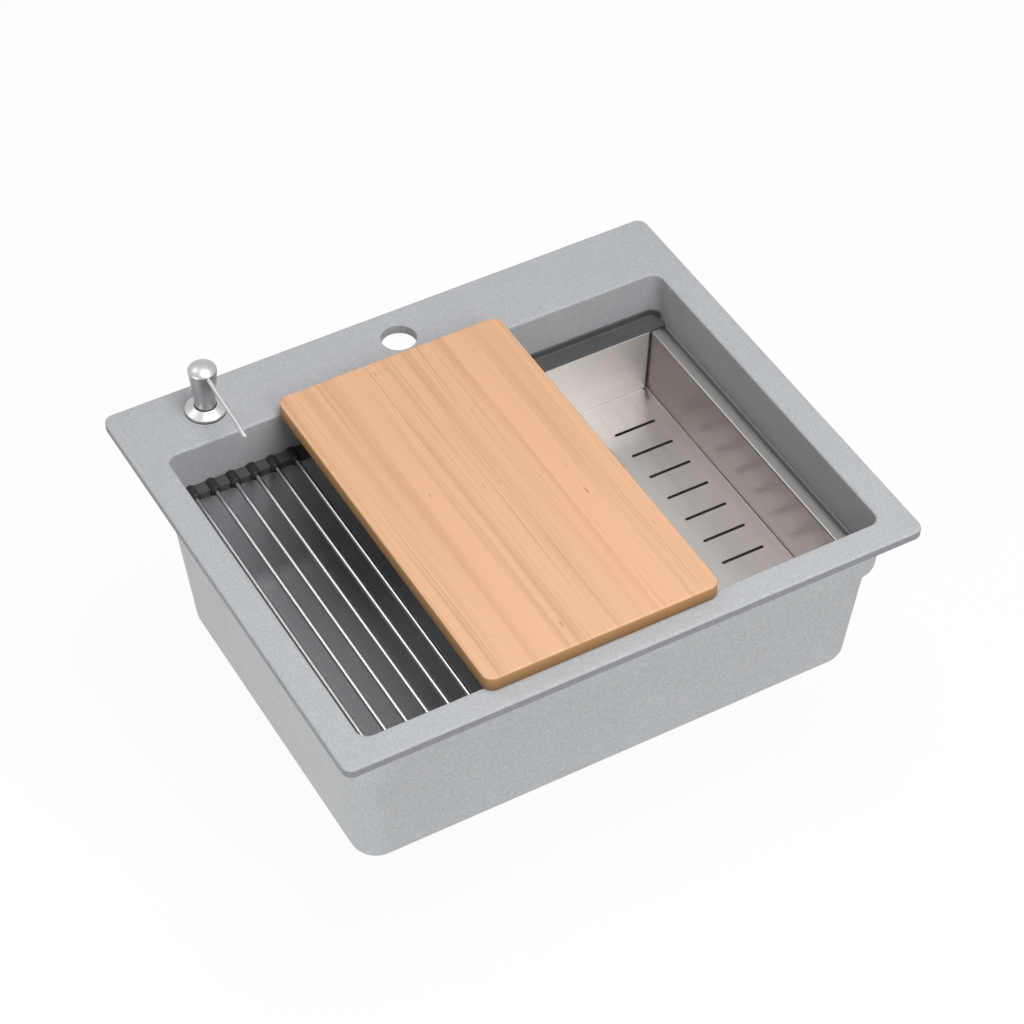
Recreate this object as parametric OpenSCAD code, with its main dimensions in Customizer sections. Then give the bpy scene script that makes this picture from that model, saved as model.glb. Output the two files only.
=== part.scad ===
// Workstation kitchen sink for a worktop cut-out: a granite composite bowl with a ledge along its
// front and rear walls, which carries a roll-up drying rack and a sliding colander. A laminated
// cutting board lies over the rim, a pump dispenser stands on the tap deck, and a basket strainer
// closes the drain.
// X runs left to right, Y front to back and Z up. The origin is the centre of the cut-out, at the
// level of the worktop, which is the underside of the rim.

/* [Rim] */
// Width of the rim, left to right
rim_w = 590; // [560:5:760]
// Depth of the rim, front to back
rim_d = 500; // [470:5:540]
// Thickness of the rim slab
rim_t = 10; // [8:0.5:13]
// Corner radius of the rim
rim_corner_r = 10; // [6:0.5:20]
// Rounding of the rim's top edge and of the edge of the opening
rim_edge_r = 2.5; // [1:0.25:4]
// Width of the rim left and right of the opening
rim_side_w = 29.5; // [26:0.5:40]
// Width of the rim in front of the opening
rim_front_w = 28.5; // [26:0.5:40]
// Depth of the tap deck behind the opening
deck_d = 78.7; // [76:0.1:100]
// Corner radius of the opening
opening_corner_r = 11; // [10:0.5:20]
// Diameter of the tap hole
tap_hole_d = 35; // [32:0.5:36]
// Distance of the holes in the deck from the rim's rear edge
deck_hole_gap = 38.5; // [36:0.5:42]

/* [Bowl] */
// Height from the rim's top to the bowl's underside
bowl_h = 200; // [190:5:240]
// Height from the rim's top down to the ledges
ledge_h = 55; // [50:1:62]
// Width of the front ledge
front_ledge_w = 13.5; // [10:0.5:16]
// Width of the rear ledge
rear_ledge_w = 7; // [6:0.5:12]
// Step of the side walls at the height of the ledges
side_step = 1; // [0.5:0.1:3]
// Radius of the bowl's upright corners below the ledges
bowl_corner_r = 16; // [15:0.5:24]
// Thickness of the bowl's walls
wall_t = 9.5; // [8:0.5:11]
// Thickness of the bowl's floor
floor_t = 10; // [8:0.5:12]
// Rounding between the floor and the walls, inside
floor_fillet_r = 14; // [8:0.5:14]
// Rounding between the underside and the walls, outside
base_fillet_r = 14; // [8:0.5:20]
// Height of the step's foot below the ledge, outside
shoulder_drop = 2; // [1:0.5:4]
// Height of the slope under the step, outside
shoulder_slope_h = 7; // [4:0.5:10]

/* [Cutting board] */
// Thickness of the board
board_t = 16; // [14:0.5:22]
// Width of the board, left to right
board_w = 238; // [200:2:300]
// Gap from the left edge of the opening to the board
board_left_gap = 117.5; // [60:0.5:150]
// Lap of the board on the front rim
board_front_lap = 9; // [6:0.5:20]
// Lap of the board on the tap deck
board_rear_lap = 6.2; // [4:0.1:9]
// Radius of the board's corners
board_corner_r = 11; // [6:0.5:16]
// Number of wooden staves glued side by side
stave_count = 6; // [4:1:9]

/* [Colander] */
// Width inside the colander, at its top
colander_w = 168; // [140:2:180]
// Depth inside the colander
colander_h = 73; // [60:1:90]
// Thickness of the steel sheet
sheet_t = 1; // [0.8:0.1:1.5]
// Inward lean of the colander's side walls
colander_lean = 3.7; // [2:0.1:8]
// Width of the colander's side flanges
side_flange_w = 10; // [8:0.5:12]
// Length of a drain slot
slot_l = 46.5; // [30:0.5:52]
// Width of a drain slot
slot_w = 3.5; // [3:0.1:5]
// Distance from one drain slot to the next
slot_pitch = 33.3; // [20:0.1:45]
// Distance from the rear wall to the first drain slot
slot_rear_gap = 45.2; // [30:0.1:60]
// Distance from the side wall to the end of a drain slot
slot_side_gap = 16.8; // [10:0.1:20]

/* [Ledge strips] */
// Width of the runners that rest on the ledges
strip_w = 20.5; // [19:0.5:24]
// Gap between a strip or runner and the bowl's wall
strip_gap = 0.3; // [0.3:0.1:0.5]
// Height of the runners' upstand above the ledge
upstand_h = 11; // [8:0.5:14]
// Thickness of the runners' upstand
upstand_t = 1.8; // [1.5:0.1:2.5]
// Thickness of the runners' leg on the colander's flange
leg_t = 1.5; // [1:0.1:2.5]
// Thickness of the runners' lip under the colander's flange
lip_t = 1; // [0.8:0.1:1.5]
// Length of a runner past the colander's side flange
runner_lap = 7; // [3:0.5:8]
// Gap between the end of a runner and the bowl's side wall
runner_gap = 0.7; // [0.5:0.1:2]

/* [Drying rack] */
// Diameter of a rod
rod_d = 5; // [4:0.5:6]
// Distance from one rod to the next
rod_pitch = 21; // [19:0.5:22]
// Radius of the silicone sleeve round a rod
sleeve_r = 5.4; // [4.8:0.1:5.8]
// Length of a sleeve
sleeve_l = 15.4; // [14:0.1:20]
// Width of the silicone web between two sleeves
web_w = 13; // [11:0.5:14]
// Thickness of the silicone web between two sleeves
web_t = 8.2; // [6:0.1:8.6]
// Width of the silicone tab outside the first and the last rod
tab_w = 16.5; // [12:0.5:18]
// Gap between the end of the rack and the bowl's side wall
rack_gap = 2.5; // [1:0.5:6]
// Clearance of a folding link round its neighbour's sleeve
fold_gap = 0.3; // [0.3:0.05:0.5]
// Silicone left past the end of a rod
rod_cap_t = 2; // [1:0.5:3]
// Clearance between a rod and its sleeve
rod_fit = 0.05; // [0.05:0.01:0.1]

/* [Soap dispenser] */
// Distance of the dispenser from the rim's left edge
dispenser_left_gap = 90; // [75:0.5:110]
// Diameter of the hole for the dispenser
dispenser_hole_d = 30; // [28.5:0.5:32]
// Diameter of the collar's flange
collar_d = 40; // [38:0.5:44]
// Height of the collar above its gasket
collar_h = 6.8; // [6:0.1:10]
// Height of the flange's upright edge
collar_edge_h = 2.5; // [1.5:0.1:3]
// Diameter of the collar's top
collar_top_d = 22.8; // [22.4:0.1:24]
// Diameter of the collar's bore, which the head goes down into
collar_bore_d = 21.4; // [21.2:0.1:21.6]
// Diameter of the threaded shank
shank_d = 27; // [26.4:0.1:28]
// Length of the shank below the rim's underside
shank_l = 45; // [42:1:50]
// Wall of the shank
shank_wall = 2; // [1.5:0.1:2.5]
// Thickness of the gasket and of the washer
gasket_t = 1; // [0.8:0.1:2]
// Diameter of the head at its foot
head_foot_d = 20; // [19.4:0.1:20.2]
// Diameter of the head where it meets the collar when it is pressed
head_waist_d = 20.8; // [20.4:0.1:20.8]
// Diameter of the head at its top edge
head_top_d = 28; // [27:0.1:29]
// Height of the head below its dome
head_h = 45.2; // [40:0.1:46]
// Height of the head's dome
dome_h = 5.5; // [3:0.5:8]
// Stroke of the pump
stroke = 9; // [8:0.1:9]
// Outer diameter of the spout
spout_d = 4.5; // [4:0.1:5]
// Wall of the spout
spout_wall = 0.7; // [0.6:0.1:0.9]
// Height of the spout below the head's top edge
spout_drop = 1.2; // [1:0.1:2]
// Reach of the spout's level root, from the head's axis
spout_level_l = 15; // [15:0.5:20]
// Slope of the spout's long run, in degrees
spout_lean = 5.5; // [3:0.5:9]
// Reach of the spout's long run, from the head's axis
spout_reach = 68.6; // [50:0.1:80]
// Length of the spout's end, past its bend
spout_end_l = 21.7; // [15:0.1:30]
// Slope of the spout's end, in degrees
spout_slope = 13; // [10:1:40]
// Diameter of the bottle
bottle_d = 60; // [50:1:60]
// Height of the bottle below its shoulder
bottle_h = 118; // [90:2:130]
// Wall of the bottle
bottle_wall = 1.6; // [1.4:0.1:2.5]

/* [Waste] */
// Diameter of the drain hole
drain_hole_d = 90; // [89:0.5:92]
// Diameter of the strainer's flange
drain_flange_d = 112; // [110:1:116]
// Depth of the recess that the strainer's flange lies in
recess_h = 3; // [2.8:0.1:4]
// Depth inside the strainer cup, below its flange
cup_h = 30; // [26:0.5:36]
// Diameter of the basket
basket_d = 72; // [66:1:76]
// Diameter of the waste pipe
waste_pipe_d = 40; // [38:1:40]
// Length of the waste pipe below its nut
waste_pipe_l = 41; // [30:1:60]
// Wall of the plastic waste parts
plastic_wall = 3; // [2.5:0.1:3.5]

/* [Hidden] */

$fn = 64;
// Steps of a rounded edge and of a rounded corner in the bowl's surface
edge_steps = 4;
corner_steps = 6;
// Overrun of every cut past the face that it opens
over = 1;
// Run of the bowl's walls per unit of their height, above and below the ledges
tier_draft_share = 0.015;
wall_draft_share = 0.085;
// Growth of the corner radius of the upper tier, outside
shoulder_corner_r = 11.5;

rim_top = rim_t;
opening_x = rim_w / 2 - rim_side_w;
opening_front = rim_front_w - rim_d / 2;
opening_rear = rim_d / 2 - deck_d;
hole_y = rim_d / 2 - deck_hole_gap;
ledge_z = rim_top - ledge_h;
base_z = rim_top - bowl_h;
floor_z = base_z + floor_t;
tier_run = tier_draft_share * ledge_h;

// Plan boxes at the height of the ledge: left, right, front, rear and corner radius
upper_box = [tier_run - opening_x, opening_x - tier_run, opening_front + tier_run,
    opening_rear - tier_run, opening_corner_r];
lower_box = [upper_box[0] + side_step, upper_box[1] - side_step, upper_box[2] + front_ledge_w,
    upper_box[3] - rear_ledge_w, bowl_corner_r];
upper_shell = grown(upper_box, wall_t, shoulder_corner_r);
lower_shell = grown(lower_box, wall_t, 0);
rim_box = [-rim_w / 2, rim_w / 2, -rim_d / 2, rim_d / 2, rim_corner_r];

// Cutting board
board_left = board_left_gap - opening_x;
board_front = opening_front - board_front_lap;
board_d = opening_rear + board_rear_lap - board_front;
stave_w = board_w / stave_count;
glue_gap = 0.1;

// Strips on the ledges: the rear one, and the front one as its mirror image
rear_back = upper_box[3] - strip_gap;
rear_lip = rear_back - strip_w;
front_back = upper_box[2] + strip_gap;
front_lip = front_back + strip_w;

// Outer and inner ends of the rack's sleeves and the inner edges of its webs
sleeve_lip = [front_back + sleeve_l, rear_back - sleeve_l];
web_lip = [front_back + web_w, rear_back - web_w];

// Colander
flange_low = ledge_z + lip_t;
flange_top = flange_low + sheet_t;
tray_floor = flange_top - colander_h;
tray_x = upper_box[1] - runner_gap - runner_lap - side_flange_w - colander_w / 2;
tray_gap = strip_gap;
tray_rear = rear_lip - tray_gap - sheet_t;
tray_front = front_lip + tray_gap + sheet_t;
tray_half = colander_w / 2;
tray_foot = tray_half - colander_lean;
tray_edge = tray_half + side_flange_w;
slot_span = tray_rear - tray_front - slot_rear_gap - slot_side_gap;
slot_count = floor(slot_span / slot_pitch) + 1;
slot_x = tray_foot - slot_side_gap - slot_l / 2;

// Drying rack
ROD_COUNT = 10;
LINK_COUNT = 4;
rod_r = rod_d / 2;
rod_z = ledge_z + sleeve_r;
rack_left = upper_box[0] + rack_gap;
function rod_x(i) = rack_left + tab_w + (i - 1) * rod_pitch;
rack_right = rod_x(ROD_COUNT) + tab_w;

// Soap dispenser
pump_x = dispenser_left_gap - rim_w / 2;
collar_base = rim_top + gasket_t;
collar_top = collar_base + collar_h;
// Dip of the head into the collar at rest, and room under the head when it is pressed
head_dip = 0.5;
head_room = 2;
head_lift = 1;
head_foot = collar_top - head_dip;
head_edge = head_foot + head_h;
barrel_plate_t = 2;
barrel_top = head_foot - stroke - head_room;
seat_t = 2;
seat_top = barrel_top - barrel_plate_t;
shank_r = shank_d / 2;
shank_bore_r = shank_r - shank_wall;
thread_gap = 0.3;
seat_r = 8;
washer_d = 46;
nut_d = 44;
nut_t = 8;
nut_z = -gasket_t - nut_t;
barrel_r = 7;
barrel_wall = 1.4;
barrel_low = -44;
stem_r = 3;
stem_bore_r = 1.6;
stem_fit = 0.05;
stem_gap = 0.3;
piston_r = 5.5;
piston_t = 6;
piston_top = 0.5;
stem_top = head_foot + head_h / 2;
tube_socket_l = 8;
tube_r = 2.6;
tube_bore_r = 1.9;
tube_gap = 6;
spring_wire_r = 0.5;
spring_r = 4.3;
spring_turns = 8;
spring_sides = 6;
spring_steps = 8;
spring_gap = 0.1;
shell_t = 1.6;
boss_r = 5.2;
channel_r = 1.5;
spout_r = spout_d / 2;
spout_bore_r = spout_r - spout_wall;
spout_z = head_edge - spout_drop - spout_r;
spout_fit = 0.05;
spout_bend_r = 14;
spout_bend_steps = 2;
spout_root = 3.4;
spout_sides = 16;
bottle_r = bottle_d / 2;
bottle_neck_h = 20;
neck_gap = 14;
bottle_neck_top = nut_z - neck_gap;
bottle_shoulder_h = 16;
neck_bore_r = shank_r + thread_gap;
neck_r = neck_bore_r + bottle_wall;
bottle_low = bottle_neck_top - bottle_neck_h - bottle_shoulder_h - bottle_h;

// Waste, on the centre line of the bowl
drain_y = (lower_box[2] + lower_box[3]) / 2;
drain_hole_r = drain_hole_d / 2;
drain_flange_r = drain_flange_d / 2;
recess_gap = 1.5;
recess_z = floor_z - recess_h;
drain_gasket_t = 1;
drain_gasket_w = 8;
flange_sheet = 1.5;
flange_face = recess_z + drain_gasket_t;
cup_gap = 2;
cup_r = drain_hole_r - cup_gap;
cup_floor = flange_face - cup_h;
cup_hole_r = 5;
cup_hole_ring = 20;
cup_hole_count = 8;
cup_hub_r = 4.2;
waste_gasket_t = 3;
waste_gasket_w = 9;
body_top = base_z - waste_gasket_t;
body_flange_t = 4;
body_gap = 2;
body_r = drain_hole_r + body_gap + plastic_wall;
body_h = 54;
body_floor = body_top - body_h;
neck_outer_r = 24;
outlet_r = 20.5;
neck_l = 27;
neck_low = body_floor - neck_l;
post_r = 7;
post_h = 22;
post_gap = 3;
post_top = cup_floor - flange_sheet - post_gap;
rib_t = 3;
screw_r = 3.5;
screw_fit = 0.05;
screw_head_r = 8;
screw_head_t = 3;
screw_l = 22;
seal_r = 30;
seal_t = 3.2;
seal_bore_r = 9;
seal_cap_t = 2;
basket_sheet = 0.8;
basket_r = basket_d / 2;
basket_low = cup_floor + seal_t + seal_cap_t;
basket_top_gap = 3.5;
basket_top = flange_face - basket_top_gap;
basket_rim_w = 4;
basket_hole_r = 2.2;
basket_hole_count = 16;
basket_hole_ring = 26;
knob_r = 10;
knob_t = 3;
knob_stem_r = 3;
knob_fit = 0.1;
tail_washer_t = 2;
pipe_r = waste_pipe_d / 2;
pipe_wall = 1.8;
pipe_collar_r = 23.5;
pipe_collar_t = 2;
pipe_step = 0.4;
pipe_neck_r = pipe_r - pipe_step;
tail_nut_r = 30;
tail_nut_up = 18;
tail_nut_floor_t = 3;
tail_fit = 0.15;
pipe_collar_low = neck_low - tail_washer_t - pipe_collar_t;
tail_nut_low = pipe_collar_low - tail_nut_floor_t;
pipe_low = tail_nut_low - waste_pipe_l;
grip_count = 12;
grip_r = 2.5;

// A plan box grown by d on every side, with its corner radius grown by extra besides
function grown(box, d, extra) = [box[0] - d, box[1] + d, box[2] - d, box[3] + d, box[4] + d + extra];

// One outline of a lofted shape: a plan box at height z, drawn in by its draft and by inset
function level(box, z, ref, draft_share, inset) =
    let (d = draft_share * (ref - z) + inset)
    [z, box[0] + d, box[1] - d, box[2] + d, box[3] - d, box[4] - inset];

// Outlines of a rounded foot, from the flat up to the wall
function foot(box, z, ref, draft_share, r) = [for (i = [0 : edge_steps])
    let (a = 90 * i / edge_steps)
    level(box, z + r * (1 - cos(a)), ref, draft_share, r * (1 - sin(a)))];

// Outlines of a rounded top edge, drawn in by sign 1 or flared out by sign -1
function brow(box, z, ref, draft_share, r, sign) = [for (i = [0 : edge_steps])
    let (a = 90 * i / edge_steps)
    level(box, z - r * (1 - sin(a)), ref, draft_share, sign * r * (1 - cos(a)))];

// Points of one outline, anticlockwise
function outline(l) = let (
        cx = [l[2] - l[5], l[1] + l[5], l[1] + l[5], l[2] - l[5]],
        cy = [l[4] - l[5], l[4] - l[5], l[3] + l[5], l[3] + l[5]])
    [for (q = [0 : 3]) for (i = [0 : corner_steps])
        let (a = 90 * (q + i / corner_steps))
        [cx[q] + l[5] * cos(a), cy[q] + l[5] * sin(a), l[0]]];

// A closed skin over outlines that are listed from the lowest to the highest
module loft(levels) {
    n = 4 * (corner_steps + 1);
    top = len(levels) - 1;
    points = [for (l = levels) each outline(l)];
    base = [for (i = [0 : n - 1]) i];
    lid = [for (i = [n - 1 : -1 : 0]) top * n + i];
    sides = [for (k = [0 : top - 1]) for (i = [0 : n - 1])
        let (j = (i + 1) % n, a = k * n + i, b = k * n + j)
        each [[a, a + n, b + n], [a, b + n, b]]];
    polyhedron(points, concat([base, lid], sides));
}

// Flat rectangle with round corners
module round_rect(x, y, w, d, r) {
    translate([x + r, y])
        square([w - 2 * r, d]);
    translate([x, y + r])
        square([w, d - 2 * r]);
    for (cx = [x + r, x + w - r])
        for (cy = [y + r, y + d - r])
            translate([cx, cy])
                circle(r);
}

// Rod or hole along Y, from y_low to y_high
module rod_along_y(x, z, y_low, y_high, r) {
    translate([x, y_high, z])
        rotate([90, 0, 0])
            cylinder(h = y_high - y_low, r = r);
}

// Block between two corners
module block(low, high) {
    translate(low)
        cube(high - low);
}

// Ring or disc turned about the axis at x, y
module ring_at(x, y, z_low, z_high, r_out, r_in) {
    translate([x, y, z_low])
        difference() {
            cylinder(h = z_high - z_low, r = r_out);
            if (r_in > 0)
                translate([0, 0, -over])
                    cylinder(h = z_high - z_low + 2 * over, r = r_in);
        }
}

// Room above and below the ledges that a strip or the colander may fill, clear of the walls
module room() {
    gap = strip_gap;
    translate([0, 0, base_z])
        linear_extrude(bowl_h)
            round_rect(upper_box[0] + gap, upper_box[2] + gap, upper_box[1] - upper_box[0] - 2 * gap,
                upper_box[3] - upper_box[2] - 2 * gap, opening_corner_r - gap);
}

// Moulded bowl with its rim, ledges, tap hole, dispenser hole and drain hole
module sink_bowl() {
    color("#a9abaf")
    difference() {
        union() {
            loft(concat([level(rim_box, 0, 0, 0, 0)],
                brow(rim_box, rim_top, 0, 0, rim_edge_r, 1)));
            loft([level(lower_shell, ledge_z - shoulder_drop - shoulder_slope_h, ledge_z,
                    wall_draft_share, over),
                level(upper_shell, ledge_z - shoulder_drop, ledge_z, wall_draft_share, 0),
                level(upper_shell, rim_t / 2, ledge_z, wall_draft_share, 0)]);
            loft(concat(foot(lower_shell, base_z, ledge_z, wall_draft_share, base_fillet_r),
                [level(lower_shell, ledge_z + over, ledge_z, wall_draft_share, 0)]));
        }
        loft(concat([level(upper_box, ledge_z, ledge_z, tier_draft_share, 0)],
            brow(upper_box, rim_top, ledge_z, tier_draft_share, rim_edge_r, -1),
            [level(upper_box, rim_top + over, ledge_z, tier_draft_share, -rim_edge_r)]));
        loft(concat(foot(lower_box, floor_z, ledge_z, wall_draft_share, floor_fillet_r),
            [level(lower_box, ledge_z + over, ledge_z, wall_draft_share, 0)]));
        translate([0, hole_y, -over])
            cylinder(h = rim_t + 2 * over, r = tap_hole_d / 2);
        translate([pump_x, hole_y, -over])
            cylinder(h = rim_t + 2 * over, r = dispenser_hole_d / 2);
        translate([0, drain_y, recess_z])
            cylinder(h = recess_h + over, r = drain_flange_r + recess_gap);
        translate([0, drain_y, base_z - over])
            cylinder(h = floor_t + over, r = drain_hole_r);
    }
}

// Cutting board glued up from staves that run front to back
module cutting_board() {
    color("#eec094")
    for (i = [0 : stave_count - 1])
        intersection() {
            translate([0, 0, rim_top])
                linear_extrude(board_t)
                    round_rect(board_left, board_front, board_w, board_d, board_corner_r);
            block([board_left + i * stave_w + glue_gap / 2, board_front - over, rim_top - over],
                [board_left + (i + 1) * stave_w - glue_gap / 2, board_front + board_d + over,
                    rim_top + board_t + over]);
        }
}

// Outline of the folded sheet across the colander: flanges, side walls and floor
module tray_section() {
    polygon([[-tray_edge, flange_top], [-tray_edge, flange_low],
        [-tray_half - sheet_t, flange_low], [-tray_foot - sheet_t, tray_floor - sheet_t],
        [tray_foot + sheet_t, tray_floor - sheet_t], [tray_half + sheet_t, flange_low],
        [tray_edge, flange_low], [tray_edge, flange_top], [tray_half, flange_top],
        [tray_foot, tray_floor], [-tray_foot, tray_floor], [-tray_half, flange_top]]);
}

// Outline of an end wall of the colander
module tray_end() {
    polygon([[-tray_half - sheet_t, flange_top], [-tray_foot - sheet_t, tray_floor - sheet_t],
        [tray_foot + sheet_t, tray_floor - sheet_t], [tray_half + sheet_t, flange_top]]);
}

// Folded sheet steel colander with two columns of drain slots in its floor
module colander_tray() {
    flange_rear = rear_back - upstand_t;
    flange_front = front_back + upstand_t;
    color("#c4c2bf")
    intersection() {
        room();
        difference() {
            union() {
                translate([tray_x, tray_rear + sheet_t, 0])
                    rotate([90, 0, 0])
                        linear_extrude(tray_rear - tray_front + 2 * sheet_t)
                            tray_section();
                for (y = [tray_rear + sheet_t, tray_front])
                    translate([tray_x, y, 0])
                        rotate([90, 0, 0])
                            linear_extrude(sheet_t)
                                tray_end();
                block([tray_x - tray_edge, tray_rear, flange_low],
                    [tray_x + tray_edge, flange_rear, flange_top]);
                block([tray_x - tray_edge, flange_front, flange_low],
                    [tray_x + tray_edge, tray_front, flange_top]);
            }
            for (side = [-1, 1])
                for (i = [0 : slot_count - 1])
                    translate([tray_x + side * slot_x, tray_rear - slot_rear_gap - i * slot_pitch,
                        tray_floor - sheet_t - over])
                        linear_extrude(sheet_t + 2 * over)
                            round_slot();
        }
    }
}

// Flat outline of one drain slot, along X
module round_slot() {
    reach = slot_l / 2 - slot_w / 2;
    square([2 * reach, slot_w], center = true);
    for (x = [-reach, reach])
        translate([x, 0])
            circle(slot_w / 2);
}

// Runner that grips the colander's flange and slides on a ledge: side 1 is the rear, -1 the front
module colander_runner(back, lip, side) {
    left = tray_x - tray_edge - runner_lap;
    right = tray_x + tray_edge + runner_lap;
    up = back - side * upstand_t;
    leg_top = flange_top + leg_t;
    color("#4a4a48")
    intersection() {
        room();
        translate([left, 0, 0])
            rotate([90, 0, 90])
                linear_extrude(right - left)
                    polygon([[lip, ledge_z], [back, ledge_z], [back, ledge_z + upstand_h],
                        [up, ledge_z + upstand_h], [up, leg_top], [lip, leg_top],
                        [lip, flange_top], [up, flange_top], [up, flange_low],
                        [lip, flange_low]]);
    }
}

module colander_runner_rear() {
    colander_runner(rear_back, rear_lip, 1);
}

module colander_runner_front() {
    colander_runner(front_back, front_lip, -1);
}

// Silicone end piece that holds the fixed rods, from the last folding link to the right end:
// sleeves are from sleeve[0] to sleeve[1], webs from web[0] to web[1], bores from bore[0] to bore[1]
module rack_strip(sleeve, web, bore) {
    color("#4a4a48")
    difference() {
        union() {
            block([rod_x(LINK_COUNT + 1), web[0], ledge_z], [rack_right, web[1], ledge_z + web_t]);
            for (i = [LINK_COUNT + 1 : ROD_COUNT])
                rod_along_y(rod_x(i), rod_z, sleeve[0], sleeve[1], sleeve_r);
        }
        for (i = [LINK_COUNT + 1 : ROD_COUNT])
            rod_along_y(rod_x(i), rod_z, bore[0], bore[1], rod_r + rod_fit);
    }
}

module rack_strip_rear() {
    rack_strip([sleeve_lip[1], rear_back], [web_lip[1], rear_back],
        [sleeve_lip[1] - over, rear_back - rod_cap_t]);
}

module rack_strip_front() {
    rack_strip([front_back, sleeve_lip[0]], [front_back, web_lip[0]],
        [front_back + rod_cap_t, sleeve_lip[0] + over]);
}

// Both silicone ends of one folding link: a sleeve, and a web up to the next sleeve
module rack_link(i) {
    web_left = i == 1 ? rack_left : rod_x(i);
    color("#4a4a48")
    for (end = [[[sleeve_lip[1], rear_back], [web_lip[1], rear_back], [-over, -rod_cap_t]],
            [[front_back, sleeve_lip[0]], [front_back, web_lip[0]], [rod_cap_t, over]]])
        difference() {
            union() {
                intersection() {
                    room();
                    block([web_left, end[1][0], ledge_z],
                        [rod_x(i + 1), end[1][1], ledge_z + web_t]);
                }
                rod_along_y(rod_x(i), rod_z, end[0][0], end[0][1], sleeve_r);
            }
            rod_along_y(rod_x(i), rod_z, end[0][0] + end[2][0], end[0][1] + end[2][1],
                rod_r + rod_fit);
            rod_along_y(rod_x(i + 1), rod_z, end[0][0] - over, end[0][1] + over,
                sleeve_r + fold_gap);
        }
}

module rack_rod(i) {
    color("#d9dadb")
    rod_along_y(rod_x(i), rod_z, front_back + rod_cap_t, rear_back - rod_cap_t, rod_r);
}

// Deck collar with its threaded shank, in one piece
module dispenser_collar() {
    collar_r = collar_d / 2;
    bore_r = collar_bore_d / 2;
    seat_low = seat_top - seat_t;
    color("#c9c9c8")
    translate([pump_x, hole_y, 0])
        rotate_extrude()
            polygon([[bore_r, collar_top], [collar_top_d / 2, collar_top],
                [collar_r, collar_base + collar_edge_h], [collar_r, collar_base],
                [shank_r, collar_base], [shank_r, -shank_l], [shank_bore_r, -shank_l],
                [shank_bore_r, seat_low], [seat_r, seat_low], [seat_r, seat_top],
                [bore_r, seat_top]]);
}

module dispenser_gasket() {
    color("#2f2f30")
    ring_at(pump_x, hole_y, rim_top, collar_base, collar_d / 2, shank_r + thread_gap);
}

module dispenser_washer() {
    color("#2f2f30")
    ring_at(pump_x, hole_y, -gasket_t, 0, washer_d / 2, shank_r + thread_gap);
}

// Plastic lock nut with round grips, screwed up under the deck
module dispenser_nut() {
    color("#3a3b3d")
    difference() {
        ring_at(pump_x, hole_y, nut_z, -gasket_t, nut_d / 2, shank_r + stem_fit);
        for (i = [0 : grip_count - 1])
            translate([pump_x, hole_y, nut_z - over])
                rotate([0, 0, 360 * i / grip_count])
                    translate([nut_d / 2, 0, 0])
                        cylinder(h = nut_t + 2 * over, r = grip_r);
    }
}

// Soap bottle screwed onto the shank
module dispenser_bottle() {
    neck_low_z = bottle_neck_top - bottle_neck_h;
    shoulder_low = neck_low_z - bottle_shoulder_h;
    color([0.92, 0.93, 0.93, 0.8])
    translate([pump_x, hole_y, 0])
        rotate_extrude()
            polygon([[neck_bore_r, bottle_neck_top], [neck_r, bottle_neck_top],
                [neck_r, neck_low_z], [bottle_r, shoulder_low], [bottle_r, bottle_low],
                [0, bottle_low], [0, bottle_low + bottle_wall],
                [bottle_r - bottle_wall, bottle_low + bottle_wall],
                [bottle_r - bottle_wall, shoulder_low], [neck_bore_r, neck_low_z]]);
}

// Pump cylinder: a plate that hangs on the collar's seat, a tube and a socket for the dip tube
module pump_barrel() {
    bore_r = barrel_r - barrel_wall;
    socket_r = tube_r + barrel_wall;
    color("#e8e8e6")
    translate([pump_x, hole_y, 0])
        rotate_extrude()
            polygon([[stem_r + stem_gap, barrel_top], [collar_bore_d / 2 - stem_gap, barrel_top],
                [collar_bore_d / 2 - stem_gap, seat_top], [barrel_r, seat_top],
                [barrel_r, barrel_low], [socket_r, barrel_low],
                [socket_r, barrel_low - tube_socket_l],
                [tube_r + stem_fit, barrel_low - tube_socket_l],
                [tube_r + stem_fit, barrel_low], [tube_bore_r, barrel_low],
                [tube_bore_r, barrel_low + barrel_wall], [bore_r, barrel_low + barrel_wall],
                [bore_r, seat_top], [stem_r + stem_gap, seat_top]]);
}

module pump_dip_tube() {
    color("#f1f2f2")
    ring_at(pump_x, hole_y, bottle_low + bottle_wall + tube_gap, barrel_low, tube_r, tube_bore_r);
}

// Centre line of the spring, as a helix, at turn t of its turns
function spring_at(t) = let (
        low = barrel_low + barrel_wall + spring_wire_r + spring_gap,
        high = piston_top - piston_t - spring_wire_r - spring_gap)
    [spring_r * cos(360 * t), spring_r * sin(360 * t), low + (high - low) * t / spring_turns];

// Return spring of the pump, one round wire
module pump_spring() {
    rings = spring_turns * spring_steps;
    n = spring_sides;
    points = [for (k = [0 : rings]) let (c = spring_at(k / spring_steps), a = 360 * k / spring_steps)
        for (i = [0 : n - 1]) let (b = 360 * i / n)
            [c[0] + spring_wire_r * cos(b) * cos(a), c[1] + spring_wire_r * cos(b) * sin(a),
                c[2] - spring_wire_r * sin(b)]];
    walls = [for (k = [0 : rings - 1]) for (i = [0 : n - 1])
        let (j = (i + 1) % n, a = k * n + i, b = k * n + j)
        each [[a, a + n, b + n], [a, b + n, b]]];
    color("#b8babc")
    translate([pump_x, hole_y, 0])
        polyhedron(points, concat([[for (i = [0 : n - 1]) i]],
            [[for (i = [n - 1 : -1 : 0]) rings * n + i]], walls));
}

module pump_piston() {
    color("#e8e8e6")
    ring_at(pump_x, hole_y, piston_top - piston_t, piston_top, piston_r, stem_r);
}

module pump_stem() {
    color("#f1f2f2")
    ring_at(pump_x, hole_y, piston_top - piston_t, stem_top, stem_r, stem_bore_r);
}

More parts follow.
